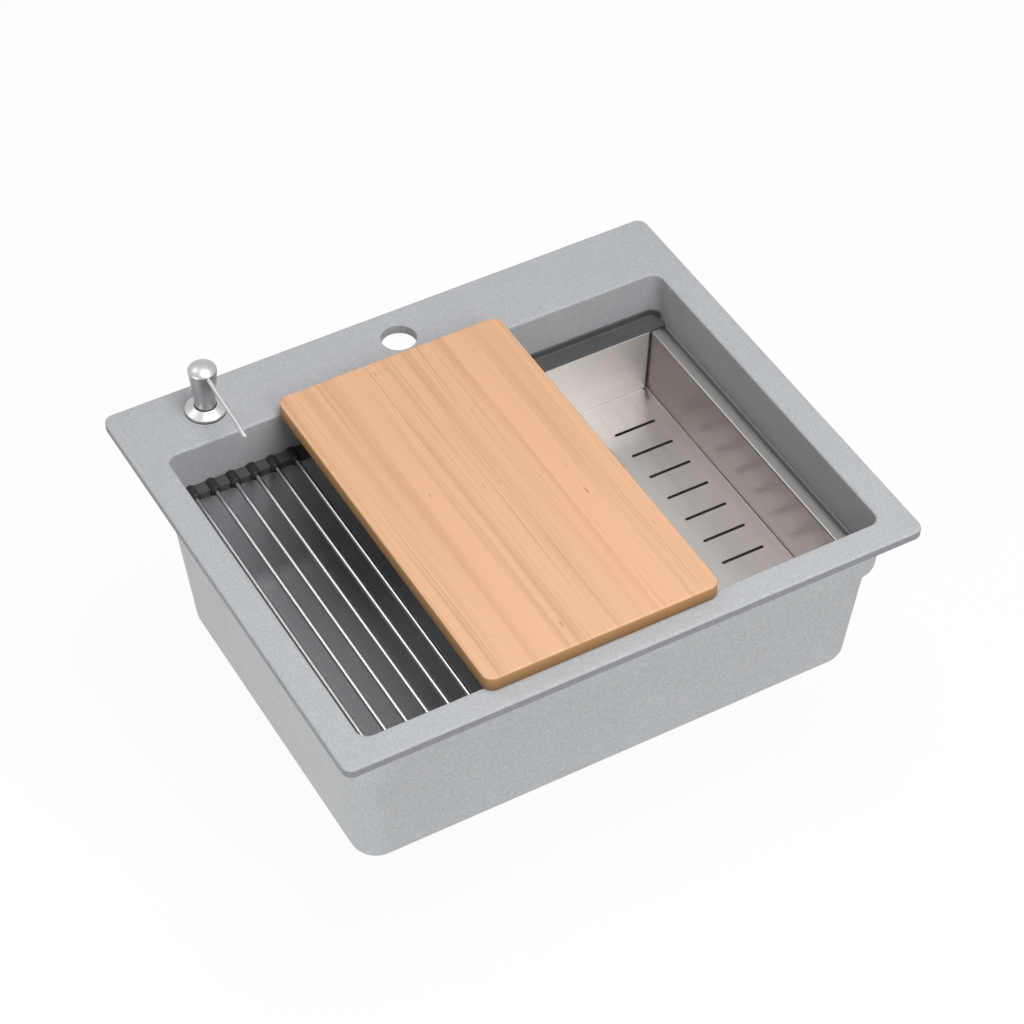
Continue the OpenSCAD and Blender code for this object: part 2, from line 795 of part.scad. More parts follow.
// Domed head: a tapered shell, a central boss on the stem and a channel to the spout
module dispenser_head() {
    foot_r = head_foot_d / 2;
    edge_r = head_top_d / 2;
    dome_r = (edge_r * edge_r + dome_h * dome_h) / (2 * dome_h);
    dome_angle = asin(edge_r / dome_r);
    dome = [for (i = [0 : edge_steps]) let (a = dome_angle * (1 - i / edge_steps))
        [dome_r * sin(a), head_edge + dome_h - dome_r * (1 - cos(a))]];
    color("#d0d0cf")
    translate([pump_x, hole_y, 0])
        difference() {
            rotate_extrude()
                polygon(concat([[foot_r - shell_t, head_foot], [foot_r, head_foot],
                    [head_waist_d / 2, head_foot + stroke + head_lift]], dome,
                    [[0, head_foot], [boss_r, head_foot], [boss_r, head_edge - shell_t],
                        [edge_r - shell_t, head_edge - shell_t],
                        [head_waist_d / 2 - shell_t, head_foot + stroke + head_lift]]));
            translate([0, 0, head_foot - over])
                cylinder(h = stem_top + stem_gap - head_foot + over, r = stem_r + stem_fit);
            cylinder(h = spout_z, r = channel_r);
            rod_along_y(0, spout_z, -spout_root, 0, channel_r);
            rod_along_y(0, spout_z, -edge_r - over, -spout_root, spout_r + spout_fit);
        }
}

// Stations round a bend of the spout, from slope a to slope b: y, z and slope. The two straight
// runs beside the bend would meet at y, z.
function spout_bend(y, z, a, b) = let (run = spout_bend_r * tan((b - a) / 2))
    [for (i = [0 : spout_bend_steps]) let (s = a + (b - a) * i / spout_bend_steps)
        [y + run * cos(a) - spout_bend_r * (sin(s) - sin(a)),
            z + run * sin(a) + spout_bend_r * (cos(s) - cos(a)), s]];

// Stations along the spout, from its root in the head to its mouth
function spout_stations() = let (fall = (spout_reach - spout_level_l) * tan(spout_lean))
    concat([[-spout_root, 0, 0]], spout_bend(-spout_level_l, 0, 0, spout_lean),
        spout_bend(-spout_reach, -fall, spout_lean, spout_slope),
        [[-spout_reach - spout_end_l * cos(spout_slope), -fall - spout_end_l * sin(spout_slope),
            spout_slope]]);

// Points of a ring of radius r round one station
function spout_ring(at, r) = [for (i = [0 : spout_sides - 1])
    let (b = 360 * i / spout_sides)
    [r * cos(b), at[0] - r * sin(b) * sin(at[2]), at[1] + r * sin(b) * cos(at[2])]];

// Spout tube, pushed into the head: a level root, a long run and a steeper end, with its bore
module dispenser_spout() {
    n = spout_sides;
    stations = spout_stations();
    last = len(stations) - 1;
    bore = n * (last + 1);
    points = concat([for (at = stations) each spout_ring(at, spout_r)],
        [for (at = stations) each spout_ring(at, spout_bore_r)]);
    walls = [for (k = [0 : last - 1]) for (i = [0 : n - 1])
        let (j = (i + 1) % n, a = k * n + i, b = k * n + j, c = bore + a, d = bore + b)
        each [[a, a + n, b + n], [a, b + n, b], [c, d + n, c + n], [c, d, d + n]]];
    ends = [for (i = [0 : n - 1])
        let (j = (i + 1) % n, e = last * n)
        each [[i, j, bore + j], [i, bore + j, bore + i],
            [e + i, bore + e + j, e + j], [e + i, bore + e + i, bore + e + j]]];
    color("#d0d0cf")
    translate([pump_x, hole_y, spout_z])
        polyhedron(points, concat(walls, ends));
}

// Strainer cup with its flange in the recess of the bowl's floor
module drain_flange() {
    bore_r = cup_r - flange_sheet;
    color("#c4c5c6")
    difference() {
        translate([0, drain_y, 0])
            rotate_extrude()
                polygon([[bore_r, flange_face + flange_sheet],
                    [drain_flange_r, flange_face + flange_sheet], [drain_flange_r, flange_face],
                    [cup_r, flange_face], [cup_r, cup_floor - flange_sheet],
                    [cup_hub_r, cup_floor - flange_sheet], [cup_hub_r, cup_floor],
                    [bore_r, cup_floor]]);
        for (i = [0 : cup_hole_count - 1])
            translate([0, drain_y, cup_floor - flange_sheet - over])
                rotate([0, 0, 360 * i / cup_hole_count])
                    translate([cup_hole_ring, 0, 0])
                        cylinder(h = flange_sheet + 2 * over, r = cup_hole_r);
    }
}

module drain_gasket() {
    color("#2f2f30")
    ring_at(0, drain_y, recess_z, flange_face, drain_flange_r, drain_flange_r - drain_gasket_w);
}

module waste_gasket() {
    color("#2f2f30")
    ring_at(0, drain_y, body_top, base_z, drain_hole_r + waste_gasket_w, drain_hole_r + body_gap);
}

// Plastic waste body: flange, bowl, threaded outlet and the ribbed post that the screw pulls on
module waste_body() {
    bore_r = body_r - plastic_wall;
    post_low = post_top - post_h;
    color("#e6e6e3")
    translate([0, drain_y, 0])
        difference() {
            union() {
                rotate_extrude()
                    polygon([[bore_r, body_top], [drain_hole_r + waste_gasket_w, body_top],
                        [drain_hole_r + waste_gasket_w, body_top - body_flange_t],
                        [body_r, body_top - body_flange_t], [body_r, body_floor],
                        [neck_outer_r, body_floor], [neck_outer_r, neck_low],
                        [outlet_r, neck_low], [outlet_r, body_floor + plastic_wall],
                        [bore_r, body_floor + plastic_wall]]);
                translate([0, 0, post_low])
                    cylinder(h = post_h, r = post_r);
                for (i = [0 : 2])
                    rotate([0, 0, 90 + 120 * i])
                        block([0, -rib_t / 2, body_floor + plastic_wall / 2],
                            [bore_r + plastic_wall / 2, rib_t / 2, post_low + post_r]);
            }
            translate([0, 0, body_floor - over])
                cylinder(h = post_top - body_floor + 2 * over, r = screw_r + screw_fit);
        }
}

// Clamping screw, from the strainer cup into the waste body
module waste_screw() {
    color("#b9babb")
    translate([0, drain_y, 0])
        union() {
            translate([0, 0, cup_floor])
                cylinder(h = screw_head_t, r = screw_head_r);
            translate([0, 0, cup_floor - screw_l])
                cylinder(h = screw_l + screw_head_t / 2, r = screw_r);
        }
}

// Lift-out basket with a ring of holes in its floor
module strainer_basket() {
    bore_r = basket_r - basket_sheet;
    color("#c4c5c6")
    difference() {
        translate([0, drain_y, 0])
            rotate_extrude()
                polygon([[basket_r, basket_low], [basket_r, basket_top - basket_sheet],
                    [basket_r + basket_rim_w, basket_top - basket_sheet],
                    [basket_r + basket_rim_w, basket_top], [bore_r, basket_top],
                    [bore_r, basket_low + basket_sheet],
                    [knob_stem_r + knob_fit, basket_low + basket_sheet],
                    [knob_stem_r + knob_fit, basket_low]]);
        for (i = [0 : basket_hole_count - 1])
            translate([0, drain_y, basket_low - over])
                rotate([0, 0, 360 * i / basket_hole_count])
                    translate([basket_hole_ring, 0, 0])
                        cylinder(h = basket_sheet + 2 * over, r = basket_hole_r);
    }
}

// Knob of the basket, on a stem that runs down into the plug
module basket_knob() {
    stem_low = basket_low - seal_cap_t + knob_fit;
    color("#d0d1d2")
    translate([0, drain_y, 0])
        union() {
            translate([0, 0, flange_face - knob_t])
                cylinder(h = knob_t, r = knob_r);
            translate([0, 0, stem_low])
                cylinder(h = flange_face - knob_t / 2 - stem_low, r = knob_stem_r);
        }
}

// Rubber plug under the basket, which closes the holes of the strainer cup
module basket_seal() {
    color("#2f2f30")
    translate([0, drain_y, 0])
        rotate_extrude()
            polygon([[seal_bore_r, cup_floor], [seal_r, cup_floor], [seal_r, basket_low],
                [knob_stem_r + knob_fit, basket_low],
                [knob_stem_r + knob_fit, basket_low - seal_cap_t + knob_fit],
                [seal_bore_r, basket_low - seal_cap_t + knob_fit]]);
}

// Slip nut round the threaded outlet
module tail_nut() {
    color("#e6e6e3")
    difference() {
        translate([0, drain_y, 0])
            rotate_extrude()
                polygon([[pipe_neck_r + tail_fit, tail_nut_low], [tail_nut_r, tail_nut_low],
                    [tail_nut_r, neck_low + tail_nut_up],
                    [neck_outer_r + tail_fit, neck_low + tail_nut_up],
                    [neck_outer_r + tail_fit, pipe_collar_low],
                    [pipe_neck_r + tail_fit, pipe_collar_low]]);
        for (i = [0 : grip_count - 1])
            translate([0, drain_y, tail_nut_low - over])
                rotate([0, 0, 360 * i / grip_count])
                    translate([tail_nut_r, 0, 0])
                        cylinder(h = neck_low + tail_nut_up - tail_nut_low + 2 * over, r = grip_r);
    }
}

module tail_washer() {
    color("#2f2f30")
    ring_at(0, drain_y, neck_low - tail_washer_t, neck_low, pipe_collar_r, outlet_r);
}

// Waste pipe with the collar that the slip nut holds
module waste_pipe() {
    color("#e6e6e3")
    translate([0, drain_y, 0])
        rotate_extrude()
            polygon([[pipe_r - pipe_wall, pipe_low], [pipe_r, pipe_low], [pipe_r, tail_nut_low],
                [pipe_neck_r, tail_nut_low], [pipe_neck_r, pipe_collar_low],
                [pipe_collar_r, pipe_collar_low], [pipe_collar_r, neck_low - tail_washer_t],
                [pipe_r - pipe_wall, neck_low - tail_washer_t]]);
}

sink_bowl();
cutting_board();
colander_tray();
colander_runner_rear();
colander_runner_front();
rack_strip_rear();
rack_strip_front();
rack_link(1);  // rack_link_1
rack_link(2);  // rack_link_2
rack_link(3);  // rack_link_3
rack_link(4);  // rack_link_4
rack_rod(1);  // rack_rod_1
rack_rod(2);  // rack_rod_2
rack_rod(3);  // rack_rod_3
rack_rod(4);  // rack_rod_4
rack_rod(5);  // rack_rod_5
rack_rod(6);  // rack_rod_6
rack_rod(7);  // rack_rod_7
rack_rod(8);  // rack_rod_8
rack_rod(9);  // rack_rod_9
rack_rod(10);  // rack_rod_10
dispenser_collar();
dispenser_gasket();
dispenser_washer();
dispenser_nut();
dispenser_bottle();
pump_barrel();
pump_dip_tube();
pump_spring();
pump_piston();
pump_stem();
dispenser_head();
dispenser_spout();
drain_flange();
drain_gasket();
waste_gasket();
waste_body();
waste_screw();
strainer_basket();
basket_knob();
basket_seal();
tail_nut();
tail_washer();
waste_pipe();
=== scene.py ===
"""Workstation kitchen sink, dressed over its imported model.

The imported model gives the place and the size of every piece. This script gives the pieces that
show their rounded, moulded, bent and turned shapes, and every piece its finish. Sizes are in
millimetres.
"""

import logging
import math
from dataclasses import dataclass
from enum import Enum, IntEnum
from typing import Optional, Sequence, Union

import bmesh
import bpy
from mathutils import Matrix, Vector


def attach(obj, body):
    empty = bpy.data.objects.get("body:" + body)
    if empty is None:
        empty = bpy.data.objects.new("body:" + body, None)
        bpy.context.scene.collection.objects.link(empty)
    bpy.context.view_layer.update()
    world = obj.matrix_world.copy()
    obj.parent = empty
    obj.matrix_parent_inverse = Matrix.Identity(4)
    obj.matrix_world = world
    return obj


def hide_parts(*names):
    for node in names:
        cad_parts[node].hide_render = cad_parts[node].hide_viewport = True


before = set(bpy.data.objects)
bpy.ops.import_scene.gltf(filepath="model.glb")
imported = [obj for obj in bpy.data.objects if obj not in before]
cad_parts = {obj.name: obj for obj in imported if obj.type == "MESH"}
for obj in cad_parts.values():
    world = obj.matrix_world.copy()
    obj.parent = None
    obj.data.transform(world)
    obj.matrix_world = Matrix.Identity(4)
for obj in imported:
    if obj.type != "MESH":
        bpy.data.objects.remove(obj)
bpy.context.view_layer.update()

log = logging.getLogger("sink")
MM = 0.001
Point = tuple[float, float, float]
Flat = tuple[float, float]
Value = Union[float, Sequence[float], bpy.types.NodeSocket]

# Steps round a corner in plan, and round a bevelled edge
CORNER_STEPS = 14
BEVEL_STEPS = 2
# A ring as narrow as this is a pole
POLE_R = 1e-6
# Most of a noise pattern lies in this range
MIDDLE = (0.3, 0.7)
# Left side, right side, underside and top of the board, and the number of its staves
BOARD_LEFT, BOARD_RIGHT, BOARD_LOW, BOARD_HIGH, STAVES = -148.0, 90.0, 10.0, 26.0, 6


# Helpers for colour, node trees and outlines

def linear(colour: str) -> tuple[float, float, float, float]:
    """Turn an sRGB hex colour into a linear one.

    Args:
        colour: Six hex digits, red first.

    Returns:
        Red, green, blue and an alpha of 1.
    """
    parts = [int(colour[i:i + 2], 16) / 255 for i in (0, 2, 4)]
    red, green, blue = (c / 12.92 if c <= 0.04045 else ((c + 0.055) / 1.055) ** 2.4 for c in parts)
    return red, green, blue, 1.0


def per_size(size: float) -> float:
    """Give the texture scale whose cells are size millimetres wide."""
    return 1 / (size * MM)


def add_node(tree: bpy.types.NodeTree, kind: str,
             inputs: Optional[dict[Union[str, int], Value]] = None,
             stops: Sequence[tuple[float, str]] = (), **settings: object) -> bpy.types.Node:
    """Add a node to a tree, with its settings and links.

    Args:
        tree: Node tree that takes the node.
        kind: Blender's name for the type of node.
        inputs: Value of an input, or the socket that feeds it, by the input's name or number.
        stops: Places and colours of a colour ramp.
        **settings: Properties of the node.

    Returns:
        The new node.
    """
    node = tree.nodes.new(kind)
    for name, setting in settings.items():
        setattr(node, name, setting)
    for key, value in (inputs or {}).items():
        if isinstance(value, bpy.types.NodeSocket):
            tree.links.new(value, node.inputs[key])
        else:
            node.inputs[key].default_value = value
    for i, (place, colour) in enumerate(stops):
        ramp = node.color_ramp.elements
        stop = ramp[i] if i < len(ramp) else ramp.new(place)
        stop.position, stop.color = place, linear(colour)
    return node


def noise(tree: bpy.types.NodeTree, place: bpy.types.NodeSocket, size: float, detail: float,
          rough: float = 0.5) -> bpy.types.NodeSocket:
    """Add a noise pattern.

    Args:
        tree: Node tree that takes it.
        place: Coordinates, in metres.
        size: Width of its cells, in millimetres.
        detail: Number of its finer layers.
        rough: Strength of the finer layers.

    Returns:
        Socket that gives the pattern.
    """
    return add_node(tree, "ShaderNodeTexNoise", {"Vector": place, "Scale": per_size(size),
                    "Detail": detail, "Roughness": rough}).outputs["Fac"]


def ranged(tree: bpy.types.NodeTree, value: bpy.types.NodeSocket, first: float, last: float,
           start: float = 0.0, end: float = 1.0, **settings: object) -> bpy.types.NodeSocket:
    """Map a value from one range to another.

    Args:
        tree: Node tree that takes the node.
        value: Socket that gives the value.
        first: What the start of the range becomes.
        last: What its end becomes.
        start: Start of the range.
        end: Its end.
        **settings: Properties of the node.

    Returns:
        Socket that gives the new value.
    """
    return add_node(tree, "ShaderNodeMapRange", {"Value": value, "From Min": start,
                    "From Max": end, "To Min": first, "To Max": last}, **settings).outputs[0]


def stretched(tree: bpy.types.NodeTree, place: bpy.types.NodeSocket,
              scale: Point) -> bpy.types.NodeSocket:
    """Scale coordinates, each axis by its own factor."""
    return add_node(tree, "ShaderNodeVectorMath", {0: place, 1: scale},
                    operation="MULTIPLY").outputs[0]


def blend(tree: bpy.types.NodeTree, share: bpy.types.NodeSocket, first: Value,
          second: Value) -> bpy.types.NodeSocket:
    """Mix two colours: the first where share is 0, the second where it is 1."""
    return add_node(tree, "ShaderNodeMix", {0: share, 6: first, 7: second},
                    data_type="RGBA").outputs[2]


def arc(centre: Flat, radius: float, start: float, end: float, steps: int) -> list[Flat]:
    """Give points on an arc.

    Args:
        centre: Centre of the arc.
        radius: Its radius.
        start: First angle, in degrees.
        end: Last angle, in degrees.
        steps: Number of steps along it.

    Returns:
        Its points, from start to end.
    """
    angles = [math.radians(start + (end - start) * i / steps) for i in range(steps + 1)]
    return [(centre[0] + radius * math.cos(a), centre[1] + radius * math.sin(a)) for a in angles]


def circle(centre: Flat, radius: float, sides: int) -> list[Flat]:
    """Give points all the way round a circle, one for each side."""
    return arc(centre, radius, 0, 360 - 360 / sides, sides - 1)


def quarter(radius: float, steps: int) -> list[Flat]:
    """Give the points of a quarter round between a side and an end face.

    Args:
        radius: Radius of the rounding.
        steps: Number of steps round it.

    Returns:
        Distance from the end face and from the side of each point, from the side on.
    """
    turns = [math.radians(90 * i / steps) for i in range(steps + 1)]
    return [(radius * (1 - math.sin(a)), radius * (1 - math.cos(a))) for a in turns]


def soften(corners: Sequence[tuple[float, float, float]], closed: bool = True,
           steps: int = 4) -> list[Flat]:
    """Round the corners of a flat outline.

    Args:
        corners: X, Y and rounding radius of each corner.
        closed: Whether the last corner joins the first.
        steps: Number of steps round a corner.

    Returns:
        Points of the rounded outline.
    """
    points: list[Flat] = []
    count = len(corners)
    for i, (x, y, radius) in enumerate(corners):
        if radius <= 0 or (not closed and i in (0, count - 1)):
            points.append((x, y))
            continue
        here = Vector((x, y))
        to_last = (Vector(corners[i - 1][:2]) - here).normalized()
        to_next = (Vector(corners[(i + 1) % count][:2]) - here).normalized()
        half = to_last.angle(to_next) / 2
        reach = radius / math.tan(half)
        middle = here + (to_last + to_next).normalized() * radius / math.sin(half)
        first = here + to_last * reach - middle
        turn = first.angle_signed(here + to_next * reach - middle)
        for k in range(steps + 1):
            spoke = first.copy()
            spoke.rotate(Matrix.Rotation(-turn * k / steps, 2))
            points.append((middle.x + spoke.x, middle.y + spoke.y))
    return points


class Skin:
    """Skin of one piece, gathered from rings of points."""

    def __init__(self, name: str) -> None:
        """Start an empty skin.

        Args:
            name: Name of the piece.
        """
        self.name = name
        self.mesh = bmesh.new()

    def ring(self, points: Sequence[Point]) -> list[bmesh.types.BMVert]:
        """Add points in a row.

        Args:
            points: Points of the ring, in millimetres.

        Returns:
            The new vertices.
        """
        return [self.mesh.verts.new(Vector(point) * MM) for point in points]

    def bridge(self, rings: Sequence[list[bmesh.types.BMVert]], finish: int = 0) -> None:
        """Join closed rings, each to the next, with strips of faces.

        Args:
            rings: Rings with as many points each. A ring of one point is a pole.
            finish: Number of the finish that the faces take.
        """
        for low, high in zip(rings, rings[1:]):
            count = max(len(low), len(high))
            for i in range(count):
                j = (i + 1) % count
                corners = [low[i % len(low)], low[j % len(low)], high[j % len(high)],
                           high[i % len(high)]]
                face = self.mesh.faces.new(list(dict.fromkeys(corners)))
                face.material_index = finish

    def fill(self, rings: Sequence[list[bmesh.types.BMVert]], finish: int = 0) -> None:
        """Fill a flat face that has holes.

        Args:
            rings: Its outer ring and the rings of its holes.
            finish: Number of the finish that the face takes.
        """
        edges = []
        for ring in rings:
            for a, b in zip(ring, ring[1:] + ring[:1]):
                edges.append(self.mesh.edges.get((a, b)) or self.mesh.edges.new((a, b)))
        made = bmesh.ops.triangle_fill(self.mesh, use_beauty=True, use_dissolve=False, edges=edges)
        for item in made["geom"]:
            if isinstance(item, bmesh.types.BMFace):
                item.material_index = finish

    def turn(self, profile: Sequence[Flat], centre: Flat, sides: int = 96,
             closed: bool = True) -> None:
        """Turn a profile about an upright axis.

        Args:
            profile: Radius and height of each point.
            centre: X and Y of the axis.
            sides: Number of sides round the axis.
            closed: Whether the last point of the profile joins the first.
        """
        rings = []
        for radius, height in profile:
            spots = circle(centre, radius, sides) if radius > POLE_R else [centre]
            rings.append(self.ring([(x, y, height) for x, y in spots]))
        self.bridge(rings + rings[:1] if closed else rings)

    def sweep(self, stations: Sequence[tuple[Point, Point, Point, float]], sides: int = 32,
              closed: bool = False, finish: int = 0) -> None:
        """Sweep a round section along stations.

        Args:
            stations: Centre, two cross directions and radius of each section.
            sides: Number of sides of the section.
            closed: Whether the last section joins the first, as in a tube with a bore.
            finish: Number of the finish that the faces take.
        """
        rings = []
        for centre, across, up, radius in stations:
            rings.append(self.ring([Vector(centre) + Vector(across) * x + Vector(up) * y
                                    for x, y in circle((0, 0), radius, sides)]))
        self.bridge(rings + rings[:1] if closed else rings, finish)
        if not closed:
            self.mesh.faces.new(rings[0]).material_index = finish
            self.mesh.faces.new(rings[-1]).material_index = finish

    def extrude(self, outline: Sequence[Flat], start: float, end: float, along: str = "y",
                finish: int = 0) -> None:
        """Extrude a flat outline.

        Args:
            outline: Points of the outline: X and Z along Y, or Y and Z along X, or X and Y along Z.
            start: Where the extrusion starts.
            end: Where it ends.
            along: Axis of the extrusion.
            finish: Number of the finish that the faces take.
        """
        order = {"x": lambda a, b, t: (t, a, b), "y": lambda a, b, t: (a, t, b),
                 "z": lambda a, b, t: (a, b, t)}[along]
        rings = [self.ring([order(a, b, t) for a, b in outline]) for t in (start, end)]
        self.bridge(rings, finish)
        for ring in rings:
            self.mesh.faces.new(ring).material_index = finish

    def build(self, finishes: Sequence["Finish"], crease: float = 35, bevel: float = 0,
              flat_lead: bool = True) -> bpy.types.Object:
        """Make the piece's object.

        Args:
            finishes: Finishes, in the order of the faces' numbers.
            crease: Angle over which an edge is drawn sharp, in degrees.
            bevel: Width of the bevel on sharp edges.
            flat_lead: Whether large flat faces lead the shading of the rounded ones beside them.

        Returns:
            The new object, at the origin.
        """
        bmesh.ops.recalc_face_normals(self.mesh, faces=self.mesh.faces[:])
        for edge in self.mesh.edges:
            edge.smooth = edge.calc_face_angle(0) < math.radians(crease)
        for face in self.mesh.faces:
            face.smooth = True
        data = bpy.data.meshes.new(self.name)
        self.mesh.to_mesh(data)
        self.mesh.free()
        piece = bpy.data.objects.new(self.name, data)
        bpy.context.scene.collection.objects.link(piece)
        for finish in finishes:
            data.materials.append(finish.material())
        if bevel:
            edge_break = piece.modifiers.new("edge_break", "BEVEL")
            edge_break.width, edge_break.segments = bevel * MM, BEVEL_STEPS
            edge_break.limit_method, edge_break.angle_limit = "ANGLE", math.radians(crease)
            edge_break.harden_normals = True
        if flat_lead:
            weights = piece.modifiers.new("flat_faces_lead", "WEIGHTED_NORMAL")
            weights.keep_sharp = True
        return piece


def seat(piece: bpy.types.Object, body: str, slot: str, *nodes: str) -> None:
    """Put a finished piece on its body, in place of the nodes that it stands for.

    Args:
        piece: The piece.
        body: Body that it moves with.
        slot: Material slot of the piece's finish; not used.
        *nodes: Nodes that it replaces.
    """
    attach(piece, body)
    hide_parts(*nodes)
    log.info("%s on %s in place of %s", piece.name, body, ", ".join(nodes))


# Finishes

# Noise is drawn out along the direction that is scaled down
ALONG_Y = (1.0, 0.006, 1.0)
ALONG_X = (0.006, 1.0, 1.0)


@dataclass(frozen=True)
class Finish:
    """A finish: the material that a surface is made of, and how it was made."""

    name: str
    slot: str

    def material(self) -> bpy.types.Material:
        """Make the finish's material once, and give it each time after.

        Returns:
            The material.
        """
        found = bpy.data.materials.get(self.name)
        if found:
            return found
        material = bpy.data.materials.new(self.name)
        material.use_nodes = True
        tree = material.node_tree
        tree.nodes.clear()
        shader = add_node(tree, "ShaderNodeBsdfPrincipled")
        add_node(tree, "ShaderNodeOutputMaterial", {"Surface": shader.outputs["BSDF"]})
        place = add_node(tree, "ShaderNodeTexCoord").outputs["Object"]
        self.dress(tree, shader, place)
        return material

    def dress(self, tree: bpy.types.NodeTree, shader: bpy.types.Node,
              place: bpy.types.NodeSocket) -> None:
        """Give the shader its colour, roughness and relief.

        Args:
            tree: The material's node tree.
            shader: Its principled shader.
            place: Coordinates on the piece, in metres.
        """
        raise NotImplementedError

    def tint(self, tree: bpy.types.NodeTree, shader: bpy.types.Node,
             colour: Value, share: bpy.types.NodeSocket) -> None:
        """Darken or lighten a colour by a pattern, and give it to the shader.

        Args:
            tree: The material's node tree.
            shader: Its principled shader.
            colour: The colour, or the socket that feeds it.
            share: Socket that gives the pattern, about 1.
        """
        body = add_node(tree, "ShaderNodeVectorMath", {0: colour, "Scale": share},
                        operation="SCALE")
        tree.links.new(body.outputs[0], shader.inputs["Base Color"])

    def emboss(self, tree: bpy.types.NodeTree, shader: bpy.types.Node,
               height: bpy.types.NodeSocket, strength: float, depth: float = 0.1) -> None:
        """Raise the surface a little by a pattern.

        Args:
            tree: The material's node tree.
            shader: Its principled shader.
            height: Socket that gives the pattern.
            strength: How strongly the light shows it.
            depth: Depth of the pattern.
        """
        relief = add_node(tree, "ShaderNodeBump", {"Height": height, "Strength": strength,
                          "Distance": depth * MM})
        tree.links.new(relief.outputs["Normal"], shader.inputs["Normal"])


@dataclass(frozen=True)
class GraniteComposite(Finish):
    """Quartz sand bound in acrylic resin, cast in a matt mould.

    The sand grains show as a close speckle a little lighter and darker than the resin, over soft
    clouds where the mix settled. The skin is matt and faintly rough. The real grains are 0.1 to
    0.5 mm wide, and are drawn coarser so that they show.
    """

    name: str = "granite_composite_cast"
    slot: str = "granite_composite"
    resin: str = "A8AAAD"
    dark_grain: str = "9C9EA2"
    light_grain: str = "B5B7BA"
    grain: float = 0.9
    cloud: float = 45.0
    dust_ratio: float = 1.8

    def dress(self, tree: bpy.types.NodeTree, shader: bpy.types.Node,
              place: bpy.types.NodeSocket) -> None:
        """Mix the grains into the resin, and raise them a little."""
        grains = add_node(tree, "ShaderNodeTexVoronoi", {"Vector": place,
                          "Scale": per_size(self.grain)}, feature="F1")
        tone = add_node(tree, "ShaderNodeSeparateColor", {"Color": grains.outputs["Color"]})
        speckle = add_node(tree, "ShaderNodeValToRGB", {"Fac": tone.outputs["Red"]},
                           [(0.0, self.dark_grain), (0.3, self.resin), (0.7, self.resin),
                            (1.0, self.light_grain)])
        dust = noise(tree, place, self.grain * self.dust_ratio, 3.0, 0.6)
        clouds = noise(tree, place, self.cloud, 3.0, 0.55)
        both = add_node(tree, "ShaderNodeMath", {0: ranged(tree, dust, 0.96, 1.04, *MIDDLE),
                        1: ranged(tree, clouds, 0.98, 1.02, *MIDDLE)}, operation="MULTIPLY")
        self.tint(tree, shader, speckle.outputs["Color"], both.outputs[0])
        tree.links.new(ranged(tree, dust, 0.52, 0.72), shader.inputs["Roughness"])
        self.emboss(tree, shader, dust, 0.2)
        shader.inputs["IOR"].default_value = 1.5
        shader.inputs["Specular IOR Level"].default_value = 0.4


class Wood(Enum):
    """Tints of the board's staves, and the painted shade of its sides."""

    PINK = "D8A785"
    STRAW = "D5A984"
    GRAIN = "B68E67"
    FLECK = "9A7148"
    PAINTED_SHADE_SIDE_TOP = "B88B58"
    PAINTED_SHADE_SIDE_FOOT = "7E5A34"


